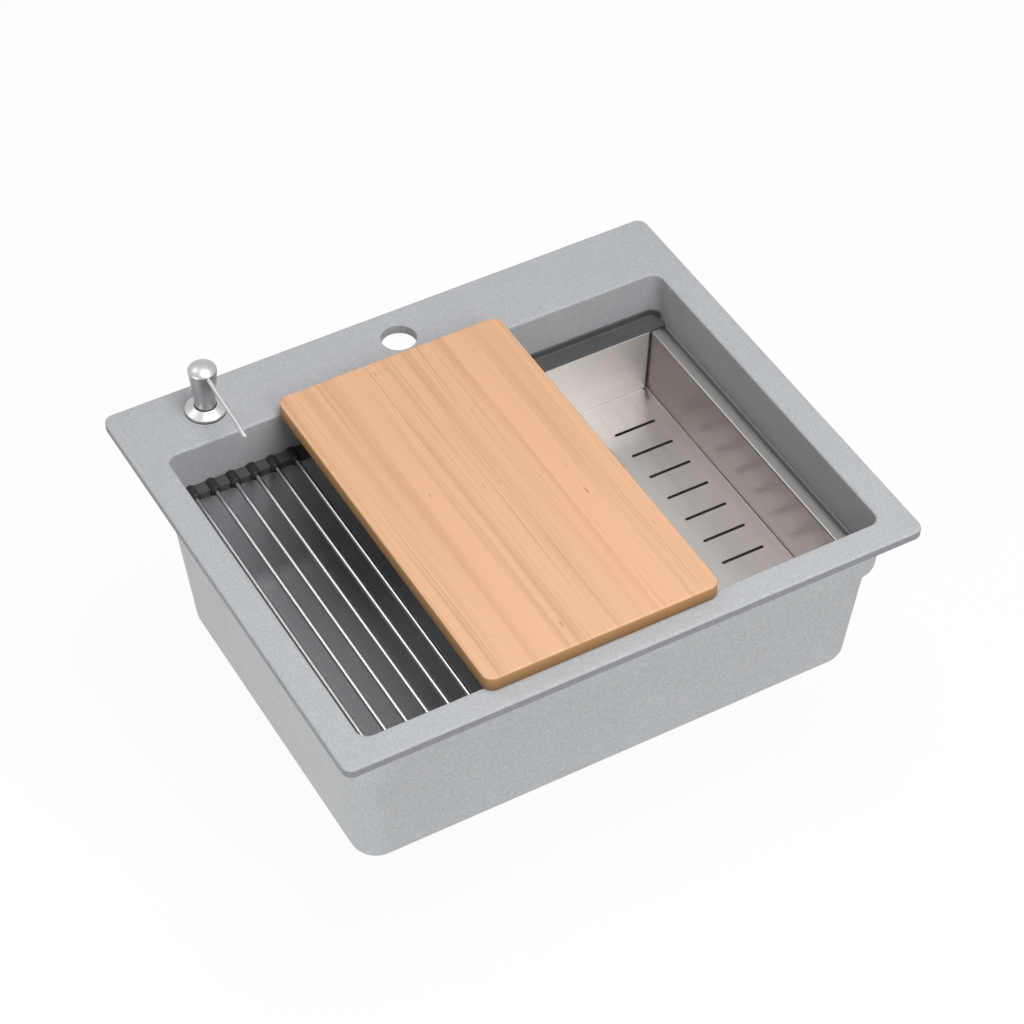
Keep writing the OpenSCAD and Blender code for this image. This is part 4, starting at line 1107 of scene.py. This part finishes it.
@dataclass
class Colander:
    """Sliding colander: a folded trough and two end walls of sheet steel, in silicone runners."""

    x: float = 162.975
    half: float = 84
    foot_half: float = 80.3
    flange_half: float = 94
    top: float = -43
    floor: float = -116
    sheet_t: float = 1
    rear: float = 148.375
    front: float = -198.575
    flange_rear: float = 168.375
    flange_front: float = -218.575
    bend_r: float = 1.6
    lip_bend_r: float = 0.9
    slit_w: float = 1.2
    lug_l: float = 3.6
    foot_r: float = 1.0
    notch_w: float = 4
    slot_l: float = 46.5
    slot_w: float = 3.5
    slot_pitch: float = 33.3
    slot_gap: float = 45.2
    slot_x: float = 40.25
    slot_count: int = 9
    edge_r: float = 0.3
    end_edge_r: float = 0.2
    end_bend_r: float = 1.6
    end_inner_r: float = 0.6
    end_high: float = 0.6
    end_top: float = 0.1
    end_lean: float = 0.25
    plate_r: float = 1.5

    def slot(self, skin: Skin, x: float, y: float) -> tuple[list, list]:
        """Punch one drain slot.

        Args:
            skin: The colander's skin.
            x: Middle of the slot.
            y: Its place from front to rear.

        Returns:
            Its rings at the floor's top and underside.
        """
        r, reach = self.slot_w / 2, (self.slot_l - self.slot_w) / 2
        outline = arc((x + reach, y), r, -90, 90, 8) + arc((x - reach, y), r, 90, 270, 8)
        rings = [skin.ring([(a, b, z) for a, b in outline])
                 for z in (self.floor, self.floor - self.sheet_t)]
        skin.bridge(rings)
        return rings[0], rings[1]

    def trough(self, skin: Skin) -> None:
        """Fold the trough: its flanges, side walls and slotted floor."""
        t, r, f, e = self.sheet_t, self.bend_r, self.lip_bend_r, self.edge_r
        wide, foot, edge = self.half, self.foot_half, self.flange_half
        upper = [(-edge, self.top, e), (-wide, self.top, f + t), (-foot, self.floor, r),
                 (foot, self.floor, r), (wide, self.top, f + t), (edge, self.top, e)]
        lower = [(edge, self.top - t, e), (wide + t, self.top - t, f),
                 (foot + t, self.floor - t, r + t), (-foot - t, self.floor - t, r + t),
                 (-wide - t, self.top - t, f), (-edge, self.top - t, e)]
        outline = [(self.x + a, b) for a, b in soften(upper + lower, steps=5)]
        rings = [skin.ring([(a, y, b) for a, b in outline]) for y in (self.front, self.rear)]
        holes = [self.slot(skin, self.x + side * self.slot_x,
                           self.rear - self.slot_gap - i * self.slot_pitch)
                 for side in (-1, 1) for i in range(self.slot_count)]
        count = len(outline)
        for i in range(count):
            j = (i + 1) % count
            corners = [rings[0][i], rings[0][j], rings[1][j], rings[1][i]]
            if abs(outline[i][0] - outline[j][0]) > self.half:
                level = 0 if outline[i][1] > self.floor - t / 2 else 1
                skin.fill([corners] + [hole[level] for hole in holes], SheetFace.FLOOR)
            else:
                # Painted shade: the side walls and their bends take the darker copy of the sheet
                flat = min(outline[i][1], outline[j][1]) > self.top - t / 2
                skin.mesh.faces.new(corners).material_index = (
                    SheetFace.FLANGE if flat else SheetFace.SIDE)
        for ring in rings:
            skin.mesh.faces.new(ring)

    def end_wall(self, skin: Skin, y: float, flange_y: float) -> None:
        """Fold one end wall: its flange, its bent side edges and its foot.

        Args:
            skin: The colander's skin.
            y: Inner face of the wall.
            flange_y: Outer edge of its flange.
        """
        way = 1 if flange_y > y else -1
        t, lug = self.sheet_t, self.lug_l
        low = self.floor + self.foot_r
        rings = []
        for z, pull in ((low, 0.0), (self.top - self.end_high, 0.0),
                        (self.top - self.end_top, self.end_lean)):
            share = (z - self.floor) / (self.top - self.floor)
            w = self.foot_half + (self.half - self.foot_half) * share - self.slit_w
            outer = [(-w, lug, self.end_edge_r), (-w, pull, self.end_bend_r),
                     (w, pull, self.end_bend_r), (w, lug, self.end_edge_r)]
            inner = [(w - t, lug, self.end_edge_r), (w - t, t, self.end_inner_r),
                     (-w + t, t, self.end_inner_r), (-w + t, lug, self.end_edge_r)]
            outline = soften([(a, y + way * b, r) for a, b, r in outer + inner], steps=5)
            rings.append(skin.ring([(self.x + a, b, z) for a, b in outline]))
        # Painted light: the end wall takes the lighter copy of the sheet
        skin.bridge(rings, SheetFace.END)
        skin.fill([rings[0]], SheetFace.END)
        skin.fill([rings[-1]], SheetFace.END)
        r = self.foot_r
        reach = self.foot_half - self.slit_w - self.notch_w
        foot = [(y - way * (r - r * math.sin(math.radians(a))), self.floor + r - r * math.cos(
            math.radians(a))) for a in range(0, 91, 15)]
        foot += [(y + way * t, low + 0.2), (y + way * t, self.floor - t),
                 (y - way * r, self.floor - t)]
        skin.extrude(foot, self.x - reach, self.x + reach, "x")
        edge = self.flange_half
        plate = soften([(self.x - edge, y + way * t, 0), (self.x + edge, y + way * t, 0),
                        (self.x + edge, flange_y, self.plate_r),
                        (self.x - edge, flange_y, self.plate_r)])
        skin.extrude(plate, self.top - t, self.top, "z")

    def build(self) -> None:
        """Build the sheet steel and its runners."""
        skin = Skin("colander_folded")
        self.trough(skin)
        self.end_wall(skin, self.rear, self.flange_rear)
        self.end_wall(skin, self.front, self.flange_front)
        seat(skin.build([SHEET, FLANGE, END, SIDE], crease=30), "colander", SHEET.slot,
             "colander_tray")
        Runner("rear", 149.675, 170.175).build()
        Runner("front", -199.875, -220.375).build()


@dataclass
class Runner:
    """Silicone runner that grips the colander's flange and follows the bowl's corner."""

    name: str
    lip: float
    back: float
    left: float = 61.975
    right: float = 263.975
    corner_x: float = 253.675
    corner_r: float = 10.7
    low: float = -45
    lip_top: float = -44
    leg_low: float = -43
    leg_top: float = -41.5
    high: float = -34
    upstand_t: float = 1.8

    def backs(self, x: float) -> Flat:
        """Give the back and the front face of the upstand at a place along the runner."""
        run, wall = x - self.corner_x, abs(self.back)
        middle = wall - self.corner_r
        if run <= 0:
            return wall, wall - self.upstand_t
        inner = (self.corner_r - self.upstand_t) ** 2 - run ** 2
        return (middle + math.sqrt(max(self.corner_r ** 2 - run ** 2, 0)),
                middle + math.sqrt(max(inner, 0)))

    def build(self) -> None:
        """Build the runner as one closed skin."""
        skin = Skin(f"colander_runner_{self.name}_moulded")
        sign = 1 if self.back > 0 else -1
        lip = abs(self.lip)
        rings = []
        bends = [self.corner_x + (self.right - self.corner_x) * math.sin(math.radians(a))
                 for a in range(0, 91, 10)]
        for x, pull in [(self.left, 0.5), (self.left + 0.15, 0.2), (self.left + 0.5, 0.0)] + [
                (x, 0.0) for x in bends]:
            back, up = self.backs(x)
            outline = soften([(lip + pull, self.low, 0.3), (back - pull, self.low + pull, 0.3),
                              (back - pull, self.high - pull, 0.7),
                              (up, self.high - pull, 0.7), (up, self.leg_top - pull, 1.3),
                              (lip + pull, self.leg_top - pull, 0.6),
                              (lip + pull, self.leg_low, 0.1), (up, self.leg_low, 0.1),
                              (up, self.lip_top, 0.1), (lip + pull, self.lip_top, 0.3)])
            rings.append(skin.ring([(x, sign * y, z) for y, z in outline]))
        skin.bridge(rings)
        skin.fill([rings[0]])
        skin.fill([rings[-1]])
        seat(skin.build([GRIP], crease=40), "colander", GRIP.slot,
             f"colander_runner_{self.name}")


@dataclass
class SoapDispenser:
    """Deck dispenser: turned collar, tapered head with a dome, and a bent spout."""

    axis: Flat = (-205, 211.5)
    collar_low: float = 11
    collar_top: float = 17.8
    collar_r: float = 20
    collar_edge_h: float = 2.5
    collar_top_r: float = 11.4
    bore_r: float = 10.7
    shank_r: float = 13.5
    shank_bore_r: float = 11.5
    shank_low: float = -45
    thread_pitch: float = 1.5
    thread_h: float = 0.45
    thread_start: float = -1.0
    seat_z: float = 4.3
    seat_t: float = 2
    seat_bore_r: float = 8
    head_foot: float = 17.3
    head_waist: float = 27.3
    head_edge: float = 62.5
    head_foot_r: float = 10
    head_waist_r: float = 10.4
    head_top_r: float = 14
    head_shell_t: float = 1.6
    head_socket_h: float = 1.5
    head_edge_r: float = 3.2
    head_edge_drop: float = 0.2
    dome_h: float = 5.5
    dome_inset: float = 0.7
    dome_steps: int = 16
    dome_skip: int = 3
    spout_z: float = 59.05
    spout_r: float = 2.25
    spout_bore_r: float = 1.55
    spout_root: float = 3.4
    spout_level_l: float = 15
    spout_lean: float = 5.5
    spout_reach: float = 68.6
    spout_slope: float = 13
    spout_end_l: float = 21.7
    spout_bend_r: float = 14
    bend_steps: int = 6

    def collar(self) -> None:
        """Turn the collar with its conical flange and its threaded shank."""
        skin = Skin("dispenser_collar_turned")
        edge_z = self.collar_low + self.collar_edge_h
        seat_low = self.seat_z - self.seat_t
        thread = []
        z = self.thread_start
        while z > self.shank_low + self.thread_pitch:
            thread += [(self.shank_r, z, 0.0), (self.shank_r - self.thread_h,
                                                z - self.thread_pitch / 2, 0.0)]
            z -= self.thread_pitch
        profile = [(self.bore_r, self.collar_top, 0.25), (self.collar_top_r, self.collar_top, 0.25),
                   (self.collar_r, edge_z, 0.9), (self.collar_r, self.collar_low, 0.25),
                   (self.shank_r, self.collar_low, 0.2), *thread,
                   (self.shank_r - self.thread_h, self.shank_low, 0.3),
                   (self.shank_bore_r, self.shank_low, 0.3), (self.shank_bore_r, seat_low, 0.0),
                   (self.seat_bore_r, seat_low, 0.0), (self.seat_bore_r, self.seat_z, 0.0),
                   (self.bore_r, self.seat_z, 0.0)]
        skin.turn(soften(profile), self.axis)
        seat(skin.build([SATIN], crease=28), "sink", SATIN.slot, "dispenser_collar")

    def head(self) -> None:
        """Turn the tapered head with its domed cap."""
        skin = Skin("dispenser_head_turned")
        dome_r = (self.head_top_r ** 2 + self.dome_h ** 2) / (2 * self.dome_h)
        reach = math.degrees(math.asin((self.head_top_r - self.dome_inset) / dome_r))
        peak = self.head_edge + self.dome_h
        dome = [(x, z, 0.0) for x, z in
                arc((0, peak - dome_r), dome_r, 90 - reach, 90, self.dome_steps)]
        inner_r = self.head_foot_r - self.head_shell_t
        socket = self.head_foot + self.head_socket_h
        # The dome's first points make room for the rounding between the side and the dome
        profile = [(0.0, socket, 0.0), (inner_r, socket, 0.4),
                   (inner_r, self.head_foot, 0.3), (self.head_foot_r, self.head_foot, 0.5),
                   (self.head_waist_r, self.head_waist, 0.0),
                   (self.head_top_r, self.head_edge - self.head_edge_drop, self.head_edge_r),
                   *dome[self.dome_skip:]]
        skin.turn(soften(profile, closed=False), self.axis, 128, closed=False)
        seat(skin.build([SATIN], crease=30, flat_lead=False), "head", SATIN.slot,
             "dispenser_head")

    def bend(self, meet: Flat, before: float, after: float) -> list[tuple[float, float, float]]:
        """Give the sections round one bend of the spout.

        Args:
            meet: Reach and fall where the straight runs beside the bend would meet.
            before: Slope before the bend, in degrees.
            after: Slope after it.

        Returns:
            Reach, fall and slope in radians of each section.
        """
        first, last, r = math.radians(before), math.radians(after), self.spout_bend_r
        run = r * math.tan((last - first) / 2)
        slopes = [first + (last - first) * i / self.bend_steps for i in range(self.bend_steps + 1)]
        return [(meet[0] - run * math.cos(first) + r * (math.sin(s) - math.sin(first)),
                 meet[1] - run * math.sin(first) - r * (math.cos(s) - math.cos(first)), s)
                for s in slopes]

    def spout(self) -> None:
        """Bend the spout's tube, with its mouth rounded."""
        skin = Skin("dispenser_spout_bent")
        x, y = self.axis
        fall = (self.spout_reach - self.spout_level_l) * math.tan(math.radians(self.spout_lean))
        slope = math.radians(self.spout_slope)
        path = [(self.spout_root, 0.0, 0.0),
                *self.bend((self.spout_level_l, 0), 0, self.spout_lean),
                *self.bend((self.spout_reach, fall), self.spout_lean, self.spout_slope)]
        tip = (self.spout_reach + self.spout_end_l * math.cos(slope),
               fall + self.spout_end_l * math.sin(slope))
        lips = [(0.4, self.spout_r), (0.12, self.spout_r - 0.06), (0.0, self.spout_r - 0.25),
                (0.0, self.spout_bore_r + 0.12), (0.12, self.spout_bore_r)]
        tube = [(out, down, a, self.spout_r) for out, down, a in path]
        tube += [(tip[0] - back * math.cos(slope), tip[1] - back * math.sin(slope), slope, radius)
                 for back, radius in lips]
        tube += [(out, down, a, self.spout_bore_r) for out, down, a in reversed(path)]
        stations = [((x, y - out, self.spout_z - down), (1, 0, 0),
                     (0, -math.sin(a), math.cos(a)), r) for out, down, a, r in tube]
        skin.sweep(stations, closed=True)
        seat(skin.build([TUBE], crease=60, flat_lead=False), "head", TUBE.slot,
             "dispenser_spout")

    def build(self) -> None:
        """Build the pieces that show above the deck."""
        self.collar()
        self.head()
        self.spout()


# Pieces that keep their solids and take their finish

KEPT: dict[Finish, tuple[str, ...]] = {
    RUBBER: ("dispenser_gasket", "dispenser_washer", "drain_gasket", "waste_gasket", "basket_seal",
             "tail_washer"),
    NYLON: ("dispenser_nut",),
    NATURAL: ("dispenser_bottle",),
    WHITE: ("pump_barrel", "pump_dip_tube", "pump_piston", "pump_stem", "waste_body", "tail_nut",
            "waste_pipe"),
    SPRING: ("pump_spring",),
    WASTE: ("drain_flange", "waste_screw", "strainer_basket", "basket_knob"),
}


def dress_kept() -> None:
    """Give every node that keeps its solid its finish."""
    for finish, nodes in KEPT.items():
        for name in nodes:
            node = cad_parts[name]
            if not node.material_slots:
                node.data.materials.append(None)
            for slot in node.material_slots:
                slot.material = finish.material()
            log.info("%s keeps its solid, in %s", name, finish.name)


# Camera, floor and light

@dataclass(frozen=True)
class Lamp:
    """Round soft light. Its places are in metres, and its power in watts."""

    name: str
    spot: Point
    aim: Point
    size: float
    power: float

    def hang(self) -> None:
        """Hang the lamp at its spot and turn it to its aim."""
        data = bpy.data.lights.new(self.name, "AREA")
        data.shape, data.size, data.energy = "DISK", self.size, self.power
        lamp = bpy.data.objects.new(self.name, data)
        look = Vector(self.aim) - Vector(self.spot)
        lamp.matrix_world = Matrix.Translation(self.spot) @ look.to_track_quat(
            "-Z", "Y").to_matrix().to_4x4()
        bpy.context.scene.collection.objects.link(lamp)


@dataclass
class Studio:
    """Plain white studio with the camera at the photograph's place."""

    camera_at: Point = (-1.0472159, -1.8846496, 2.1347580)
    right: Point = (0.8717734, -0.48990337, -0.00241575)
    up: Point = (0.34957176, 0.61858623, 0.70366943)
    focal: float = 3285.183
    frame_px: float = 1024
    sensor: float = 36
    clip_end: float = 50
    floor_z: float = -345
    floor_size: float = 6000
    white: str = "FFFFFF"
    paper: str = "F4F5F6"
    paper_glow: float = 0.94
    ambient: float = 0.3
    lamps: tuple[Lamp, ...] = (Lamp("top", (0.05, -0.45, 1.95), (0.0, 0.0, 0.0), 1.2, 29.5),
                               Lamp("front", (0.4, -1.9, 1.1), (0.0, 0.0, -0.1), 1.2, 18.5),
                               Lamp("left", (-2.1, -0.4, 0.0), (-0.2, 0.0, -0.1), 0.8, 14.0),
                               Lamp("rear", (-1.0, 1.2, 1.7), (-0.2, 0.2, 0.05), 0.7, 5.0))

    def camera(self) -> None:
        """Stand the camera where the photograph was taken from."""
        data = bpy.data.cameras.new("camera")
        data.sensor_width = self.sensor
        data.lens = self.focal * self.sensor / self.frame_px
        data.clip_end = self.clip_end
        camera = bpy.data.objects.new("camera", data)
        right, up = Vector(self.right), Vector(self.up)
        back = right.cross(up)
        camera.matrix_world = Matrix.Translation(self.camera_at) @ Matrix(
            (right, up, back)).transposed().to_4x4()
        bpy.context.scene.collection.objects.link(camera)
        bpy.context.scene.camera = camera

    def shown(self, tree: bpy.types.NodeTree) -> bpy.types.NodeSocket:
        """Tell the rays from the camera, or off gloss or through glass, from all others.

        Args:
            tree: Node tree that takes the nodes.

        Returns:
            Socket that is 1 for them and 0 for the others.
        """
        path = add_node(tree, "ShaderNodeLightPath")
        seen = add_node(tree, "ShaderNodeMath", {0: path.outputs["Is Camera Ray"],
                        1: path.outputs["Is Glossy Ray"]}, operation="MAXIMUM")
        return add_node(tree, "ShaderNodeMath", {0: seen.outputs[0],
                        1: path.outputs["Is Transmission Ray"]}, operation="MAXIMUM").outputs[0]

    def floor(self) -> None:
        """Lay the floor, which shows white and keeps the object's soft shadow."""
        half, z = self.floor_size * MM / 2, self.floor_z * MM
        data = bpy.data.meshes.new("floor")
        data.from_pydata([(-half, -half, z), (half, -half, z), (half, half, z), (-half, half, z)],
                         [], [(0, 1, 2, 3)])
        floor = bpy.data.objects.new("floor", data)
        bpy.context.scene.collection.objects.link(floor)
        material = bpy.data.materials.new("studio_paper")
        material.use_nodes = True
        tree = material.node_tree
        tree.nodes.clear()
        share = add_node(tree, "ShaderNodeMath", {0: self.shown(tree), 1: self.paper_glow},
                         operation="MULTIPLY")
        matt = add_node(tree, "ShaderNodeBsdfDiffuse", {"Color": linear(self.paper)})
        shine = add_node(tree, "ShaderNodeEmission", {"Color": linear(self.white),
                         "Strength": 1.0})
        both = add_node(tree, "ShaderNodeMixShader", {0: share.outputs[0], 1: matt.outputs[0],
                        2: shine.outputs[0]})
        # The paper's underside is left clear, so that the sink can be looked at from below
        side = add_node(tree, "ShaderNodeNewGeometry")
        clear = add_node(tree, "ShaderNodeBsdfTransparent")
        paper = add_node(tree, "ShaderNodeMixShader", {0: side.outputs["Backfacing"],
                         1: both.outputs[0], 2: clear.outputs[0]})
        add_node(tree, "ShaderNodeOutputMaterial", {"Surface": paper.outputs[0]})
        data.materials.append(material)

    def light(self) -> None:
        """Hang the soft lights and set the white surroundings."""
        world = bpy.data.worlds.new("studio")
        bpy.context.scene.world = world
        world.use_nodes = True
        tree = world.node_tree
        tree.nodes.clear()
        sky = add_node(tree, "ShaderNodeBackground", {"Color": linear(self.white),
                       "Strength": ranged(tree, self.shown(tree), self.ambient, 1.0)})
        add_node(tree, "ShaderNodeOutputWorld", {"Surface": sky.outputs[0]})
        for lamp in self.lamps:
            lamp.hang()

    def build(self) -> None:
        """Set up the camera, the floor and the light."""
        bpy.context.scene.view_settings.view_transform = "Standard"
        self.camera()
        self.floor()
        self.light()


def main() -> None:
    """Build the scene, piece by piece."""
    logging.basicConfig(level=logging.INFO, format="%(name)s: %(message)s")
    for part in (Studio(), SinkBowl(), CuttingBoard(), DryingRack(), Colander(), SoapDispenser()):
        log.info("building %s", type(part).__name__)
        part.build()
    dress_kept()


if __name__ == "__main__":
    main()
